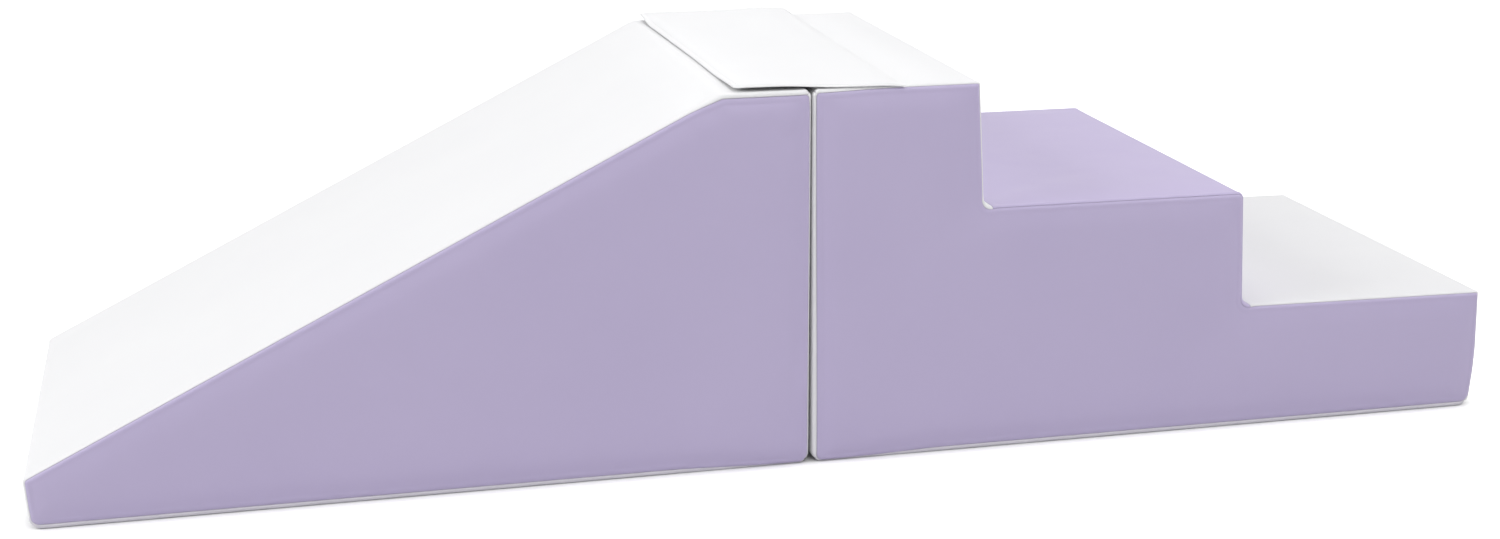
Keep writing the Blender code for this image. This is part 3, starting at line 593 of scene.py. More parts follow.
def sidePanel(name, view, side, table):
    # The panel on a block's front (side -1) or back (side 1): rings along the seam, then an
    # even net of triangles inside the last one.
    wanted = view.rows(0.0, view.length) + seamSteps(table)
    lengths = keepApart(wanted, [0.0], 0.0, view.length - meshSteps["nearest"], meshSteps["nearest"])
    surface = bmesh.new()
    seamShadeDistance, held, rings = [], [], []
    for distance, tucked in fromSeam:
        ring = []
        for length in lengths:
            seam = seamAt(view, table, length) + cover["seamGap"] / 2
            depth, inward, up, out = edgeSection(seam + distance)
            sink, rise = beside(distance, cover["seamDip"], length, side * 4)
            height = sink + rise - tucked
            height += cover["crown"] * ease(distance / cover["sideCrownReach"])
            point = view.at(length, depth - height * up)
            ring.append(surface.verts.new((point.x, side * (sidePlane - inward + height * out), point.y)))
            seamShadeDistance.append(-1.0 if tucked else distance)
            held.append(distance < meshSteps["held"])
        rings.append(ring)
    for outer, inner in zip(rings, rings[1:]):
        for k in range(len(lengths)):
            n = (k + 1) % len(lengths)
            loop = (outer[k], outer[n], inner[n], inner[k])
            surface.faces.new(loop if side > 0 else loop[::-1])
    rim = [Vector((v.co.x, v.co.z)) for v in rings[-1]]
    inside, faces = fillNet(rim, meshSteps["spacing"])
    inner = list(rings[-1])
    for point in inside:
        inner.append(surface.verts.new((point.x, side * (sidePlane + cover["crown"]), point.y)))
        seamShadeDistance.append(1.0)
        held.append(False)
    for face in faces:
        corners = [inner[k] for k in face]
        lean = (corners[1].co - corners[0].co).cross(corners[2].co - corners[0].co).y
        surface.faces.new(corners if lean * side > 0 else corners[::-1])
    for _ in range(meshSteps["evened"]):
        evened = [sum(e.other_vert(v).co.y for e in v.link_edges) / len(v.link_edges)
                  for v in surface.verts]
        for vert, y, stays in zip(surface.verts, evened, held):
            if not stays:
                vert.co.y = (vert.co.y + y) / 2
    return finishPanel(name, surface, seamShadeDistance, held)


def fillNet(rim, spacing):  # triangles inside a ring of points, with new points between them
    xs, zs = [p.x for p in rim], [p.y for p in rim]
    ends = list(zip(rim, rim[1:] + rim[:1]))
    inside = []
    rowHeight = spacing * math.sqrt(3) / 2
    for j in range(1, int((max(zs) - min(zs)) / rowHeight) + 1):
        z = min(zs) + j * rowHeight
        for i in range(int((max(xs) - min(xs)) / spacing) + 2):
            p = Vector((min(xs) + (i + 0.5 * (j % 2)) * spacing, z))
            crossings = sum((a.y > z) != (b.y > z) and p.x < a.x + (b.x - a.x) * (z - a.y) / (b.y - a.y)
                            for a, b in ends)
            if crossings % 2 and min((p - q).length for q in rim) > spacing * 0.55:
                inside.append(p)
    found = geometry.delaunay_2d_cdt(rim + inside, [], [list(range(len(rim)))], 1, 1e-7)
    return inside, [[found[3][k][0] for k in face] for face in found[2]]


flatTop, lift = blockShape["height"], blockShape["treadLift"]
noses, feet = blockShape["stepNoses"], blockShape["stepFeet"]
slideEnd, lowEnd = join - blockShape["slideLength"], join + blockShape["stepsLength"]
slideView = SideView([  # x, z and radius
    (slideEnd + blockShape["toeDraw"], 0.0, 16 * mm),
    (slideEnd, blockShape["slideToe"], 7 * mm),
    (join - blockShape["slideTop"], flatTop, 20 * mm),
    (join - blockShape["slideSetback"][0], flatTop, 9 * mm),
    (join - blockShape["slideSetback"][1], 0.0, 15 * mm),
])
treads = [flatTop * k / 3 for k in (3, 2, 1)]
stepsView = SideView([
    (join + blockShape["stepsSetback"][1], 0.0, 15 * mm),
    (join + blockShape["stepsSetback"][0], treads[0], 9 * mm),
    (join + noses[0], treads[0], 4 * mm),
    (join + feet[0], treads[1], 13 * mm),
    (join + noses[1], treads[1] + lift[0], 9 * mm),
    (join + feet[1], treads[2] + lift[1], 13 * mm),
    (lowEnd + 0.5 * mm, treads[2] + lift[2], 2.5 * mm),
    (lowEnd + blockShape["lowEndBulge"][0], blockShape["lowEndBulge"][1], 250 * mm),
    (lowEnd - blockShape["lowEndDraw"], 0.0, 19 * mm),
])


# cloth: each panel swells a little between its seams, as a cover does over foam

clothSetup = {
    "frames": 20,
    "out": {"side": 2.2 * mm, "band": 1.2 * mm},  # the most that a point may move outwards
    "back": 0.8 * mm,  # and inwards, where the foam stops it
    "smoothing": 3,
    "cloth": {
        "quality": 3, "mass": 0.3, "tension_stiffness": 12, "compression_stiffness": 12,
        "shear_stiffness": 6, "bending_stiffness": 0.8, "air_damping": 5, "use_pressure": True,
        "uniform_pressure_force": 3.0, "vertex_group_mass": "held",
        "shrink_min": -0.003,  # the cloth is cut this share longer than the foam it goes over
    },
}


def readEach(items, key, width, kind=np.float32):  # one row of numbers for each item of a mesh
    values = np.zeros(len(items) * width, kind)
    items.foreach_get(key, values)
    return values.reshape(-1, width)


def settleCovers(pieces, setup):
    for piece in pieces:
        cloth = piece.modifiers.new("cloth", "CLOTH")
        for key, value in setup["cloth"].items():
            setattr(cloth.settings, key, value)
        cloth.settings.effector_weights.gravity = 0
        cloth.collision_settings.use_collision = False
        cloth.point_cache.frame_start = 1
        cloth.point_cache.frame_end = setup["frames"]
    for number in range(1, setup["frames"] + 1):
        bpy.context.scene.frame_set(number)
    graph = bpy.context.evaluated_depsgraph_get()
    for piece in pieces:
        mesh = piece.data
        count = len(mesh.vertices)
        rest, normals = (readEach(mesh.vertices, key, 3).astype(float) for key in ("co", "normal"))
        moved = readEach(piece.evaluated_get(graph).data.vertices, "co", 3).astype(float)
        out = setup["out"]["side" if piece.name.endswith(("FrontCover", "BackCover")) else "band"]
        shift = np.clip(((moved - rest) * normals).sum(1), -setup["back"], out)
        a, b = readEach(mesh.edges, "vertices", 2, np.int32).T
        neighbours = np.bincount(a, minlength=count) + np.bincount(b, minlength=count)
        free = np.array([not v.groups for v in mesh.vertices])
        for _ in range(setup["smoothing"]):
            total = np.bincount(a, shift[b], count) + np.bincount(b, shift[a], count)
            shift = np.where(free, (shift + total / neighbours) / 2, 0.0)
        print(f"  {piece.name}: {shift.min() / mm:.2f} to {shift.max() / mm:.2f} mm")
        mesh.vertices.foreach_set("co", (rest + normals * shift[:, None]).ravel())
        piece.modifiers.remove(piece.modifiers["cloth"])
        mesh.update()
    bpy.context.scene.frame_set(1)


def addWall(piece, thickness, outside, inside=None):
    piece.data.materials.append(outside)
    smooth = piece.modifiers.new("smooth", "SUBSURF")
    smooth.levels = smooth.render_levels = 1
    smooth.boundary_smooth = "PRESERVE_CORNERS"
    wall = piece.modifiers.new("thickness", "SOLIDIFY")
    wall.thickness = thickness
    wall.offset = -1
    if inside:
        piece.data.materials.append(inside)
        wall.material_offset = 1


# the slide's cover

def slideSeams(base, taper):
    toe, brow, fold, top, heel = range(5)
    view, shown = slideView, seamShown
    start, end = view.arcStart, view.edgeStart
    return [
        (0.0, base), (end[toe], shown["toe"] + 0.6 * mm),
        (end[toe] + 15 * mm, shown["toe"]), (start[brow] - 4 * mm, shown["toe"]),
        (end[brow] + 6 * mm, shown["edge"]),
        (start[fold] - 50 * mm, shown["edge"]),
        (end[fold] + 6 * mm, shown["slideTop"]),
        (start[top] - 4 * mm, shown["slideTop"]),
        (end[top] + 18 * mm, shown["slideGap"]),
        (start[heel], shown["slideGap"]), (end[heel], shown["gapCorner"]),
        (end[heel] + taper, base), (view.length, base),
    ]


def seamTables(seams, view, ends):  # the seam's course on both sides, and round the zip's slot
    front = seams(seamShown["base"], baseTaper["front"])
    back = seams(seamShown["zip"], baseTaper["back"])
    return (front, back), withSlot(back, view, len(view.corners) - 1, *ends)


def makeSlideCover():
    toe, brow, fold, top, heel = range(5)
    view = slideView
    start, end = view.arcStart, view.edgeStart
    tables, slotted = seamTables(slideSeams, view, zipEnds["slide"])
    toeSeam, topSeam, heelSeam = end[toe] + 1 * mm, view.middle(top), view.middle(heel)
    ramp = [(end[brow], start[fold])]
    around = view.length + toeSeam
    dip, soft, gapPuff = cover["seamDip"], cover["toeDip"], cover["gapPuff"]
    return {
        "ramp": bandPanel("slideRampCover", view, toeSeam, topSeam, tables, ramp, (soft, dip)),
        "end": bandPanel("slideEndCover", view, topSeam, heelSeam, tables, [], (dip, dip), gapPuff),
        "base": bandPanel("slideBaseCloth", view, heelSeam, around, tables, [], (dip, soft)),
        "front": sidePanel("slideFrontCover", view, -1, tables[0]),
        "back": sidePanel("slideBackCover", view, 1, slotted),
    }


# the steps' cover

def stepsSeams(base, taper):
    foot, top, nose1, foot1, nose2, foot2, _, _, heel = range(9)
    view, shown = stepsView, seamShown
    start, end = view.arcStart, view.edgeStart
    table = [
        (0.0, shown["gapCorner"]), (end[foot], shown["stepsGapFoot"]),
        (start[top] - 14 * mm, shown["stepsGap"]),
        (start[top], shown["stepsTop"]), (end[top], shown["stepsTop"]),
        (view.reach(top, join + 0.105), shown["edge"]),
    ]
    for nose, inner in ((nose1, foot1), (nose2, foot2)):
        table += [
            (start[nose], shown["edge"]), (end[nose] + 8 * mm, shown["riser"]),
            (start[inner] - 8 * mm, shown["riser"]),
            (view.middle(inner), shown["innerCorner"]),
            (end[inner] + 7 * mm, shown["edge"]),
        ]
    table += [
        (start[heel] - 2 * mm, shown["edge"]), (end[heel], base),
        (view.length - taper, base), (view.length, shown["gapCorner"]),
    ]
    return table


def makeStepsCover():
    foot, top, nose1, foot1, nose2, foot2, nose3, _, heel = range(9)
    view = stepsView
    start, end = view.arcStart, view.edgeStart
    tables, slotted = seamTables(stepsSeams, view, zipEnds["steps"])
    footSeam, topSeam = view.middle(foot), view.middle(top)
    seam1, seam2 = end[foot1], end[foot2]
    heelSeam = view.middle(heel)
    flapSeam = view.reach(top, join + flapShape["seam"])
    dip, soft, gapPuff = cover["seamDip"], cover["footDip"], cover["gapPuff"]
    topCrowns = [(flapSeam, start[nose1]), (end[nose1], start[foot1])]
    middleCrowns = [(seam1, start[nose2]), (end[nose2], start[foot2])]
    lowerCrowns = [(seam2, start[nose3])]
    around = view.length + footSeam
    return {
        "end": bandPanel("stepsEndCover", view, footSeam, topSeam, tables, [], (dip, dip), gapPuff),
        "top": bandPanel("stepsTopCover", view, topSeam, seam1, tables, topCrowns, (dip, soft)),
        "middle": bandPanel("stepsMiddleCover", view, seam1, seam2, tables, middleCrowns, (soft, soft)),
        "lower": bandPanel("stepsLowerCover", view, seam2, heelSeam, tables, lowerCrowns, (soft, dip)),
        "base": bandPanel("stepsBaseCloth", view, heelSeam, around, tables, [], (dip, dip)),
        "front": sidePanel("stepsFrontCover", view, -1, tables[0]),
        "back": sidePanel("stepsBackCover", view, 1, slotted),
    }


baseTaper = {"front": 0.180, "back": 0.014}  # length in which the base band narrows at the gap
flapShape = {
    "seam": 0.126,  # from the join to where the flap is sewn on the steps
    "end": 0.100,  # and to its free edge on the slide
    "skew": (6 * mm, 10 * mm),  # its back corner lies further out, its front edge runs in
    "skewAlong": (-0.100, 0.400),
    "seamSkew": 5 * mm,  # its seam starts this much nearer the join at the front
    "corner": 8 * mm,
    "short": 1.5 * mm,
    "thickness": 1.2 * mm,
    "hem": 1.9 * mm,
    "hemWidth": 9 * mm,
    "hemRise": 0.15 * mm,
    "lining": 1.0 * mm,
    "liningInset": 3 * mm,
    "liningEnd": 0.104,
    "touch": 0.3 * mm,
    "climb": (4.4 * mm, 0.050, 0.105),  # over the strips: how high, from where, in what length
    "slack": (7.0 * mm, 0.014),  # at the back it stands up from its seam: how high, how soon
    "wave": (1.6 * mm, 0.072, 0.022),
    "slackAlong": (-0.020, 0.300),
    "sag": (0.90, 0.082, 0.018),  # the free edge sags between its corners
    "frontCorner": (0.170, 0.130, 0.8),  # where it is held up again, how soon and how much
    "backCorner": (0.215, 0.075, 1.0),
    "crease": 0.45 * mm,
    "creaseSize": (0.050, 0.110),
    "creaseFade": 0.040,
    "settle": (0.106, 0.018),
    "sewnIn": (1.6 * mm, 2.5 * mm),  # how deep the stitches draw it in, and in what length
    "bend": (0.004, 0.030),  # how far from its seam it starts and ends to turn
    "spacing": 7 * mm,
}
zipShape = {
    "margin": 0.060,
    "endStopIn": 0.020,
    "z": seamShown["zip"] + cover["zipSlot"] / 2,
    "channel": 1.6 * mm,
    "tapeDepth": (3.5 * mm, 4.1 * mm),
    "tapeWidth": 12 * mm,
    "tapeStep": 8 * mm,
    "ripple": (0.15 * mm, 9 * mm),  # how high the tape ripples, and how fast along it
    "rippleFrom": (3 * mm, 5 * mm),
    "coilDepth": 1.7 * mm,
    "coilOut": 0.1 * mm,
    "coilLap": 0.05 * mm,
    "pitch": 1.501 * mm,  # a slider's whole run is a whole number of teeth
}
zipEnds = {
    "slide": (join - zipShape["margin"], slideEnd + zipShape["margin"] + zipShape["endStopIn"]),
    "steps": (join + zipShape["margin"], lowEnd - zipShape["margin"] - zipShape["endStopIn"]),
}

slideCover = makeSlideCover()
stepsCover = makeStepsCover()
print("cover panels cut:", len(slideCover) + len(stepsCover))
settling = [piece for panels in (slideCover, stepsCover) for label, piece in panels.items()
            if label not in ("base", "end")]
settleCovers(settling, clothSetup)
print("covers settled")

coverFinish = {"front": "lilac", "back": "lilac", "middle": "lilac", "base": "base"}  # or white
for block, panels in (("slide", slideCover), ("steps", stepsCover)):
    for label, piece in panels.items():
        node, finish = f"{block}_{label}_panel", coverFinish.get(label, "white")
        piece.vertex_groups.clear()
        addWall(piece, cover["thickness"], materials[finish], materials["backing"])
        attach(piece, "slide_block" if piece.name.startswith("slide") else "steps_block")
        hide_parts(node)
print("covers on their blocks")


# foam cores

def pieceName(node):
    first, *others = node.split("_")
    return first + "".join(word.title() for word in others)


refining = {
    "merge": 0.02 * mm,
    "flat": math.radians(0.5),
    "foamEdge": 2 * mm,
    "metalEdge": 0.22 * mm,
}


def refinedCopy(node, bevel, look):  # the CAD solid's own shape, with its edges rounded
    mesh = frame["nodes"][node].data.copy()
    mesh.name = pieceName(node)
    solid = bmesh.new()
    solid.from_mesh(mesh)
    bmesh.ops.remove_doubles(solid, verts=solid.verts, dist=refining["merge"])
    bmesh.ops.dissolve_limit(solid, angle_limit=refining["flat"], verts=solid.verts, edges=solid.edges)
    solid.to_mesh(mesh)
    solid.free()
    mesh.materials.clear()
    mesh.materials.append(look)
    piece = addObject(pieceName(node), mesh)
    edges = piece.modifiers.new("edges", "BEVEL")
    edges.width = bevel
    edges.segments = 2
    edges.harden_normals = True
    mesh.polygons.foreach_set("use_smooth", [True] * len(mesh.polygons))
    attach(piece, frame["nodes"][node]["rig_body"])
    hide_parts(node)
    return piece


for node in ("slide_foam_wedge", "steps_foam_lower", "steps_foam_middle", "steps_foam_upper"):
    core = refinedCopy(node, refining["foamEdge"], materials["foam"])
print("foam cores made")


# the flap over the join

def flapRise(x, y):
    # It climbs over the hook and loop strips. Towards the back, where the cloth is longer than
    # the way across, it stands up from its seam. Its free edge sags between the corners.
    f = flapShape
    high, start, span = f["climb"]
    climb = high * ease((start - x) / span)
    wave, at, spread = f["wave"]
    slack = f["slack"][0] * ease((f["seam"] - x) / f["slack"][1])
    slack += wave * math.exp(-(((x - at) / spread) ** 2))
    share = ease((y - f["slackAlong"][0]) / f["slackAlong"][1])
    height = climb * (1 - share) + max(slack, climb) * share
    corners = 0.0
    for away, (start, span, share) in ((-y, f["frontCorner"]), (y, f["backCorner"])):
        corners = max(corners, share * ease((away - start) / span))
    amount, start, span = f["sag"]
    height *= 1 - amount * ease((-x - start) / span) * (1 - corners)
    crease = 1 + noise.noise(Vector((x / f["creaseSize"][0], y / f["creaseSize"][1], 4.4)))
    return height + crease * f["crease"] * ease((f["seam"] - x) / f["creaseFade"])


def flapPoint(x, y, z):
    # Sets a point of the flat flap in its place: a little askew, and let into its seam.
    f = flapShape
    across = (f["seam"] - x) / (f["seam"] + f["end"])
    along = (halfWidth - y) / blockShape["width"]
    z -= (f["touch"] + f["lining"]) * ease((x - f["settle"][0]) / f["settle"][1])
    deep, span = f["sewnIn"]
    z -= deep * ease((x - f["seam"] + span) / span)
    start, span = f["skewAlong"]
    shift = f["seamSkew"] * y / halfWidth * (1 - across)
    shift -= f["skew"][0] * across * ease((y - start) / span)
    return join + x + shift, y + f["skew"][1] * across * along, z + flapRise(x, y)


def flapSheet(name, inset, right, underside, hem, thickness):
    f = flapShape
    reach = halfWidth - f["short"] - inset
    left = -f["end"] + inset
    edge = [s * mm for s in (0.0, 0.4, 1.0, 2.0, 3.5, 5.5, 8.0)]
    sewn = [s * mm for s in (0.0, 0.8, 1.8, 3.0, 5.0, 7.5)]
    span = right - left - edge[-1] - sewn[-1]
    count = math.ceil(span / f["spacing"])
    xs = [left + s for s in edge]
    xs += [left + edge[-1] + span * k / count for k in range(1, count)]
    xs += [right - s for s in sewn[::-1]]
    inner = math.ceil((reach - 0.012) / f["spacing"])
    surface = bmesh.new()
    grid = []
    for x in xs:
        spare = max(f["corner"] - (x - left), 0.0)
        limit = reach - f["corner"] + math.sqrt(f["corner"] ** 2 - spare ** 2)
        half = [(limit - edge[-1]) * k / inner for k in range(inner + 1)]
        half += [limit - s for s in edge[-2::-1]]
        row = []
        for y in [-y for y in half[:0:-1]] + half:
            fromEdge = min(x - left, limit - abs(y))
            rim = hem * (1 - clamp(fromEdge / (1.6 * mm))) ** 2
            raised = f["hemRise"] * ease((f["hemWidth"] - fromEdge) / (2.5 * mm)) if hem else 0.0
            z = underside + thickness + raised - rim
            row.append(surface.verts.new(flapPoint(x, y, z)))
        grid.append(row)
    skin(surface, grid)
    return finishMesh(name, surface)


liningUnder = flatTop + flapShape["touch"]
coverUnder = liningUnder + flapShape["lining"] + flapShape["touch"]
flapCover = flapSheet("flapCover", 0.0, flapShape["seam"], coverUnder, flapShape["hem"],
                      flapShape["thickness"])
flapLining = flapSheet("flapLining", flapShape["liningInset"], flapShape["liningEnd"], liningUnder,
                       0.0, flapShape["lining"])
addWall(flapCover, flapShape["thickness"], materials["white"])
addWall(flapLining, flapShape["lining"], materials["lining"])
flapParts = ((flapCover, "flap_cover", "white_cover"), (flapLining, "flap_lining", "flap_lining"))
for piece, node, slotName in flapParts:
    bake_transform(piece)
    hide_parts(node)
print("flap laid")


# what repeats: stitches, hooks, loops and the teeth of the zips

def nodeTree(name, inputs):
    tree = bpy.data.node_groups.new(name, "GeometryNodeTree")
    tree.interface.new_socket("Geometry", in_out="INPUT", socket_type="NodeSocketGeometry")
    for label, value in inputs.items():
        kind = {int: "Int", float: "Float"}.get(type(value), "Material")
        tree.interface.new_socket(label, in_out="INPUT", socket_type="NodeSocket" + kind)
    tree.interface.new_socket("Geometry", in_out="OUTPUT", socket_type="NodeSocketGeometry")
    return tree, tree.nodes.new("NodeGroupInput").outputs


def endTree(tree, start, instances):
    solid = addNode(tree, "GeometryNodeRealizeInstances", {"Geometry": instances})
    dressed = addNode(tree, "GeometryNodeSetMaterial", {
        "Geometry": solid, "Material": start["Material"]})
    tree.links.new(dressed.outputs[0], tree.nodes.new("NodeGroupOutput").inputs[0])
    return tree


def growOn(name, mesh, tree, values):  # runs a tree on a mesh and keeps the result as a mesh
    carrier = addObject(name, mesh)
    grow = carrier.modifiers.new("grow", "NODES")
    grow.node_group = tree
    for item in tree.interface.items_tree:
        if item.in_out == "INPUT" and item.name in values:
            grow[item.identifier] = values[item.name]
    graph = bpy.context.evaluated_depsgraph_get()
    grown = bpy.data.meshes.new_from_object(carrier.evaluated_get(graph), depsgraph=graph)
    carrier.modifiers.clear()
    carrier.data = grown
    grown.name = name
    grown.polygons.foreach_set("use_smooth", [True] * len(grown.polygons))
    return carrier


def lineMesh(name, lines):
    mesh = bpy.data.meshes.new(name)
    points = [p for line in lines for p in line]
    edges, first = [], 0
    for line in lines:
        edges += [(first + k, first + k + 1) for k in range(len(line) - 1)]
        first += len(line)
    mesh.from_pydata(points, edges, [])
    return mesh


stitchSetup = {
    "Pitch": 4.0 * mm,
    "Stitch Length": 3.1 * mm,
    "Thread Width": 0.45 * mm,
    "Material": materials["thread"],
}


def stitchTree(setup):
    tree, start = nodeTree("lockstitches", setup)
    line = addNode(tree, "GeometryNodeMeshToCurve", {"Mesh": start["Geometry"]})
    spaced = addNode(tree, "GeometryNodeResampleCurve", {
        "Curve": line, "Length": start["Pitch"]}, mode="LENGTH")
    bead = addNode(tree, "GeometryNodeMeshUVSphere", {"Segments": 6, "Rings": 4, "Radius": 0.5})
    width = start["Thread Width"]
    size = addNode(tree, "ShaderNodeCombineXYZ", {"X": start["Stitch Length"], "Y": width, "Z": width})
    along = addNode(tree, "GeometryNodeInputTangent")
    turned = addNode(tree, "FunctionNodeAlignEulerToVector", {"Vector": along}, axis="X")
    placed = addNode(tree, "GeometryNodeInstanceOnPoints", {
        "Points": spaced, "Instance": bead, "Rotation": turned, "Scale": size})
    return endTree(tree, start, placed)


pileSetup = {
    "Radius": 0.45 * mm,
    "Wire": 0.10 * mm,
    "Sweep": math.radians(250),
    "Turn": 0.3,  # how much each one may be turned from the next, in radians
    "Seed": 11,
    "Material": materials["hooks"],
}


def pileTree(setup):
    tree, start = nodeTree("hooksOrLoops", setup)
    arc = addNode(tree, "GeometryNodeCurveArc", {
        "Resolution": 6, "Radius": start["Radius"], "Sweep Angle": start["Sweep"]}, mode="RADIUS")
    stand = addNode(tree, "GeometryNodeTransform", {"Geometry": arc, "Rotation": (math.pi / 2, 0, 0)})
    ring = addNode(tree, "GeometryNodeCurvePrimitiveCircle", {
        "Resolution": 4, "Radius": start["Wire"]}, mode="RADIUS")
    wire = addNode(tree, "GeometryNodeCurveToMesh", {
        "Curve": stand, "Profile Curve": ring, "Fill Caps": True})
    least = addNode(tree, "ShaderNodeMath", {0: start["Turn"], 1: -1.0}, operation="MULTIPLY")
    low = addNode(tree, "ShaderNodeCombineXYZ", {"Z": least})
    high = addNode(tree, "ShaderNodeCombineXYZ", {"Z": start["Turn"]})
    turned = addNode(tree, "FunctionNodeRandomValue", {
        0: low, 1: high, "Seed": start["Seed"]}, data_type="FLOAT_VECTOR")
    placed = addNode(tree, "GeometryNodeInstanceOnPoints", {
        "Points": start["Geometry"], "Instance": wire, "Rotation": turned})
    return endTree(tree, start, placed)


coilSetup = {
    "Count": 500,
    "Pitch": zipShape["pitch"],
    "Reach": 3.1 * mm,
    "Depth": 2.0 * mm,
    "Wire": 0.27 * mm,
    "Material": materials["coil"],
}


def coilTree(setup):
    tree, start = nodeTree("zipCoil", setup)
    step = addNode(tree, "ShaderNodeCombineXYZ", {"X": start["Pitch"]})
    line = addNode(tree, "GeometryNodeMeshLine", {
        "Count": start["Count"], "Offset": step}, mode="OFFSET")
    loop = addNode(tree, "GeometryNodeCurvePrimitiveCircle", {
        "Resolution": 9, "Radius": 0.5}, mode="RADIUS")
    size = addNode(tree, "ShaderNodeCombineXYZ", {"X": start["Depth"], "Y": start["Reach"], "Z": 1.0})
    tall = addNode(tree, "GeometryNodeTransform", {
        "Geometry": loop, "Rotation": (math.pi / 2, 0, math.pi / 2), "Scale": size})
    ring = addNode(tree, "GeometryNodeCurvePrimitiveCircle", {
        "Resolution": 5, "Radius": start["Wire"]}, mode="RADIUS")
    wire = addNode(tree, "GeometryNodeCurveToMesh", {"Curve": tall, "Profile Curve": ring})
    placed = addNode(tree, "GeometryNodeInstanceOnPoints", {"Points": line, "Instance": wire})
    return endTree(tree, start, placed)


stitching, pile, coil = stitchTree(stitchSetup), pileTree(pileSetup), coilTree(coilSetup)


# stitches on the flap

def flapLine(points):
    top = coverUnder + flapShape["thickness"] + flapShape["hemRise"] + 0.1 * mm
    return [flapPoint(x, y, top) for x, y in points]


def alongLine(start, end, spacing=3 * mm):
    count = max(2, math.ceil(math.dist(start, end) / spacing))
    return [tuple(a + (b - a) * k / count for a, b in zip(start, end)) for k in range(count + 1)]


def alongPath(corners):
    path = [corners[0]]
    for start, end in zip(corners, corners[1:]):
        path += alongLine(start, end)[1:]
    return path


hemIn, sewnIn = 7 * mm, 5 * mm
hemY = halfWidth - flapShape["short"] - hemIn
hemX = -flapShape["end"] + hemIn
sewnX = flapShape["seam"] - sewnIn
hemEnd = sewnX - 4 * mm
hemLine = flapLine(alongPath([(hemEnd, -hemY), (hemX, -hemY), (hemX, hemY), (hemEnd, hemY)]))
sewnLine = [Vector(p) - Vector((0, 0, flapShape["hemRise"]))
            for p in flapLine(alongLine((sewnX, -hemY), (sewnX, hemY)))]
hemStitches = growOn("flapHemStitches", lineMesh("flapHemStitches", [hemLine, sewnLine]),
                     stitching, stitchSetup)
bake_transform(hemStitches)


# hook and loop strips under the flap

stripShape = {
    "width": 0.050,
    "length": 0.540,
    "fromEdge": 0.012,
    "backing": 0.6 * mm,
    "thickness": 1.5 * mm,
    "corner": 3 * mm,
    "pileSpacing": 2.6 * mm,  # coarser than the real 1.2 mm, so that the rows can be seen
    "border": 2.5 * mm,
    "edge": 0.15 * mm,
    "loopsUp": 0.25 * mm,  # the middle of a loop or a hook, off its backing
    "hooksDown": 0.35 * mm,
    "threadOut": 0.1 * mm,
}


stripLeft = join - flapShape["end"] + stripShape["fromEdge"]


def strip(name, low, high, look):  # a flat woven strip with rounded corners
    s = stripShape
    halfX, halfY = s["width"] / 2, s["length"] / 2
    middle = stripLeft + halfX
    surface = bmesh.new()
    outline = []
    for cornerX, cornerY, turn in ((1, 1, 0), (-1, 1, 90), (-1, -1, 180), (1, -1, 270)):
        for k in range(5):
            angle = math.radians(turn + 22.5 * k)
            outline.append((middle + cornerX * (halfX - s["corner"]) + s["corner"] * math.cos(angle),
                            cornerY * (halfY - s["corner"]) + s["corner"] * math.sin(angle)))
    rings = []
    edge = s["edge"]
    for z, inset in ((low, edge), (low + edge, 0), (high - edge, 0), (high, edge)):
        scale = (1 - inset / halfX, 1 - inset / halfY)
        rings.append([surface.verts.new((middle + (x - middle) * scale[0], y * scale[1], z))
                      for x, y in outline])
    for lower, upper in zip(rings, rings[1:]):
        for k in range(len(outline)):
            n = (k + 1) % len(outline)
            surface.faces.new((lower[k], lower[n], upper[n], upper[k]))
    surface.faces.new(rings[-1])
    surface.faces.new(rings[0][::-1])
    piece = finishMesh(name, surface)
    piece.data.polygons.foreach_set("use_smooth", [False] * len(piece.data.polygons))
    piece.data.materials.append(look)
    return piece


def pilePoints(name, z):
    s = stripShape
    inside = s["border"] + 1.5 * mm
    countX = int((s["width"] - 2 * inside) / s["pileSpacing"])
    countY = int((s["length"] - 2 * inside) / s["pileSpacing"])
    points = [(stripLeft + inside + (i + 0.5 * (k % 2)) * s["pileSpacing"],
               -s["length"] / 2 + inside + k * s["pileSpacing"], z)
              for i in range(countX) for k in range(countY)]
    mesh = bpy.data.meshes.new(name)
    mesh.from_pydata(points, [], [])
    return mesh


def stripStitches(name, z):
    s = stripShape
    left = stripLeft + s["border"]
    right = left + s["width"] - 2 * s["border"]
    y = s["length"] / 2 - s["border"]
    corners = [(left, -y, z), (right, -y, z), (right, y, z), (left, y, z), (left, -y, z)]
    lines = [alongLine(a, b) for a, b in zip(corners, corners[1:])]
    return growOn(name, lineMesh(name, lines), stitching, stitchSetup)


loopLow = flatTop + 0.3 * mm
hookHigh = loopLow + 2 * stripShape["thickness"] + 0.3 * mm
loopFace, hookFace = loopLow + stripShape["backing"], hookHigh - stripShape["backing"]
loopStrip = strip("loopStrip", loopLow, loopFace, materials["loops"])
hookStrip = strip("hookStrip", hookFace, hookHigh, materials["hooks"])
loopSetup = dict(pileSetup, Radius=0.55 * mm, Sweep=math.pi, Turn=math.pi, Seed=5,
                 Material=materials["loops"])
loopPile = growOn("loopPile", pilePoints("loopPile", loopFace + stripShape["loopsUp"]), pile, loopSetup)
hookPile = growOn("hookPile", pilePoints("hookPile", hookFace - stripShape["hooksDown"]), pile, pileSetup)
loopStitches = stripStitches("loopStripStitches", loopFace + stripShape["threadOut"])
hookStitches = stripStitches("hookStripStitches", hookFace - stripShape["threadOut"])
for piece in (loopStrip, loopPile, loopStitches):
    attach(piece, "slide_block")
for piece in (hookStrip, hookPile, hookStitches):
    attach(piece, "flap")
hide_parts("slide_loop_strip")
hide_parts("flap_hook_strip")
print("strips and stitches made")


# zips along the back

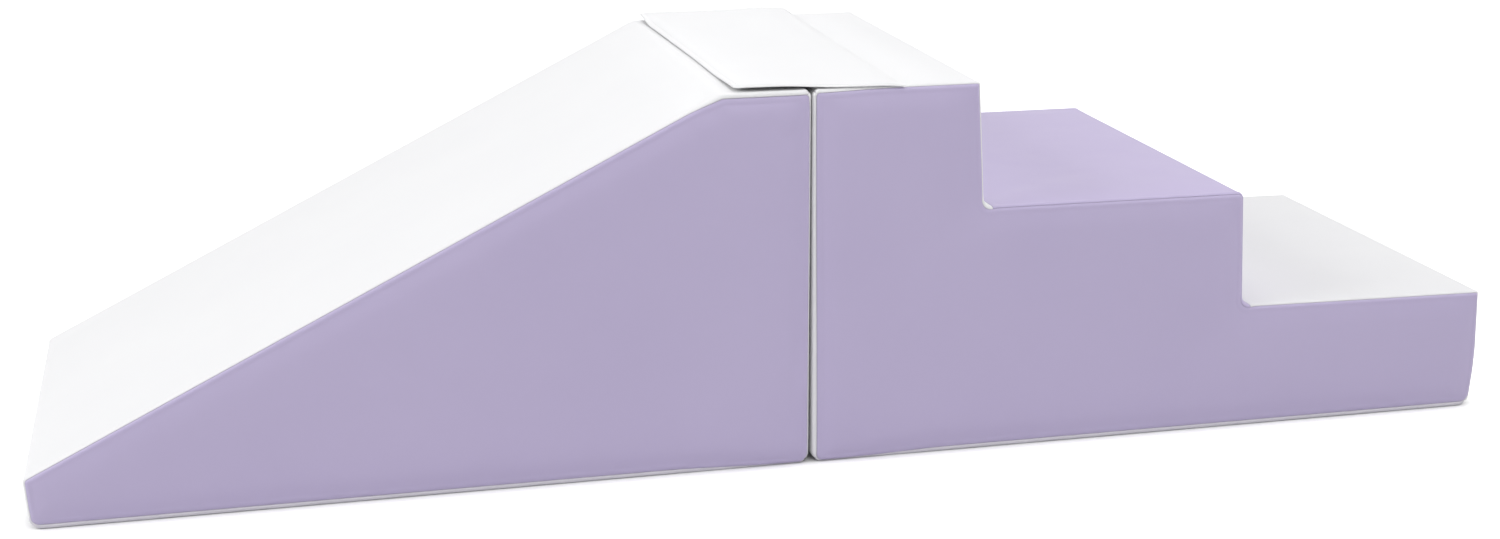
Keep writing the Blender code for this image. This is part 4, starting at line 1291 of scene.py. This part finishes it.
def zipTape(name, low, high, sign):
    z = zipShape
    front, back = z["tapeDepth"]
    ends = cover["slotTaper"]
    rises = [z["channel"] / 2 + (z["tapeWidth"] - z["channel"] / 2) * k / 8 for k in range(9)]
    count = math.ceil((high - low + 2 * ends) / z["tapeStep"])
    (tall, pace), (start, span) = z["ripple"], z["rippleFrom"]
    surface = bmesh.new()
    grid = []
    for i in range(count + 1):
        x = low - ends + (high - low + 2 * ends) * i / count
        row = []
        for rise in rises:
            ripple = tall * math.sin(x / pace) * ease((rise - start) / span)
            row.append(surface.verts.new((x, sidePlane - front + ripple, z["z"] + sign * rise)))
        grid.append(row)
    skin(surface, list(zip(*grid[::sign])))  # the two tapes are each other's mirror image
    piece = finishMesh(name, surface)
    piece.data.materials.append(materials["tape"])
    wall = piece.modifiers.new("thickness", "SOLIDIFY")
    wall.thickness = back - front
    wall.offset = -1
    return piece


def makeZip(block, ends):
    z = zipShape
    low, high = min(ends), max(ends)
    body = f"{block}_block"
    for label, sign in (("upper", 1), ("lower", -1)):
        tape = zipTape(f"{block}Zip{label.title()}Tape", low, high, sign)
        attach(tape, body)
        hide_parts(f"{block}_zip_{label}_tape")
        values = dict(coilSetup, Count=int((high - low) / z["pitch"]) - 1)
        teeth = growOn(f"{block}Zip{label.title()}Coil", lineMesh("zipStart", []), coil, values)
        shift = z["pitch"] / 2 if sign < 0 else 0.0
        middle = sidePlane - z["coilDepth"] - coilSetup["Depth"] / 2 + z["coilOut"]
        rise = sign * (coilSetup["Reach"] / 2 - z["coilLap"])
        teeth.data.transform(Matrix.Translation((low + z["pitch"] / 2 + shift, middle, z["z"] + rise)))
        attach(teeth, body)
    for part in ("start_stop", "end_stop", "slider", "pull"):
        metal = refinedCopy(f"{block}_zip_{part}", refining["metalEdge"], materials["metal"])


for block, ends in zipEnds.items():
    makeZip(block, ends)
print("zips made")


# floor, background and light

floorLook = {
    "size": 40.0,
    "colour": "#e6e6e6",
    "seen": 0.73,  # added for what the eye sees, so that open floor is white
    "shade": 0.030,  # the reach of the painted contact shadow: within it the floor's added glow fades, so a dark line stays under the object's edges
}


def seenRays(tree):  # 1 for what the eye sees, straight, in a gloss or through a clear thing
    path = addNode(tree, "ShaderNodeLightPath").outputs
    seen = path["Is Camera Ray"]
    for other in ("Is Glossy Ray", "Is Transmission Ray"):
        seen = addNode(tree, "ShaderNodeMath", {0: seen, 1: path[other]}, operation="MAXIMUM")
    return seen


def makeFloor(look):
    mesh = bpy.data.meshes.new("studioFloor")
    h = look["size"] / 2
    mesh.from_pydata([(-h, -h, 0), (h, -h, 0), (h, h, 0), (-h, h, 0)], [], [(0, 1, 2, 3)])
    floor = addObject("studioFloor", mesh)
    made, tree = newMaterial("mattPaintedStudioFloor")
    # painted shadow: ambient occlusion takes the added glow away near the object, darkening the floor
    # under its edges and between the blocks
    near = addNode(tree, "ShaderNodeAmbientOcclusion", {"Distance": look["shade"]}, samples=8)
    clear = addNode(tree, "ShaderNodeMath", {0: near.outputs["AO"], 1: 2.0}, operation="POWER")
    strength = seenRays(tree)
    for share in (clear, look["seen"]):
        strength = addNode(tree, "ShaderNodeMath", {0: strength, 1: share}, operation="MULTIPLY")
    paint = addNode(tree, "ShaderNodeBsdfDiffuse", {"Color": toLinear(look["colour"])})
    glow = addNode(tree, "ShaderNodeEmission", {"Color": (1, 1, 1, 1), "Strength": strength})
    both = addNode(tree, "ShaderNodeAddShader", {0: paint, 1: glow})
    addNode(tree, "ShaderNodeOutputMaterial", {"Surface": both})
    mesh.materials.append(made)


lightRig = {
    "sky": 0.32,
    "lamps": [
        # name, place, aimed at, size, power
        ("topSoftbox", (0.2, -0.6, 3.4), (0.1, 0.0, 0.3), 2.4, 22.0),
        ("frontSoftbox", (0.15, -2.6, 1.9), (0.1, 0.0, 0.3), 1.4, 13.4),
        ("leftSoftbox", (-3.6, -0.6, 2.6), (0.1, 0.0, 0.3), 2.0, 78.0),
        ("rightSoftbox", (3.4, -0.6, 2.8), (0.1, 0.0, 0.3), 2.0, 44.0),
        ("backSoftbox", (0.1, 2.6, 3.0), (0.1, 0.0, 0.25), 1.6, 20.0),
    ],
}


def makeLights(rig):
    world = bpy.data.worlds.new("studio")
    bpy.context.scene.world = world
    world.use_nodes = True
    tree = world.node_tree
    tree.nodes.clear()
    sky, white = (addNode(tree, "ShaderNodeBackground", {"Color": (1, 1, 1, 1), "Strength": strength})
                  for strength in (rig["sky"], 1.0))
    mix = addNode(tree, "ShaderNodeMixShader", {0: seenRays(tree), 1: sky, 2: white})
    addNode(tree, "ShaderNodeOutputWorld", {"Surface": mix})
    for name, place, target, size, power in rig["lamps"]:
        data = bpy.data.lights.new(name, "AREA")
        data.shape = "SQUARE"
        data.size = size
        data.energy = power
        aim(addObject(name, data), place, Vector(target) - Vector(place))


makeFloor(floorLook)
makeLights(lightRig)
bpy.context.scene.view_settings.view_transform = "Standard"
print("floor and lights placed")
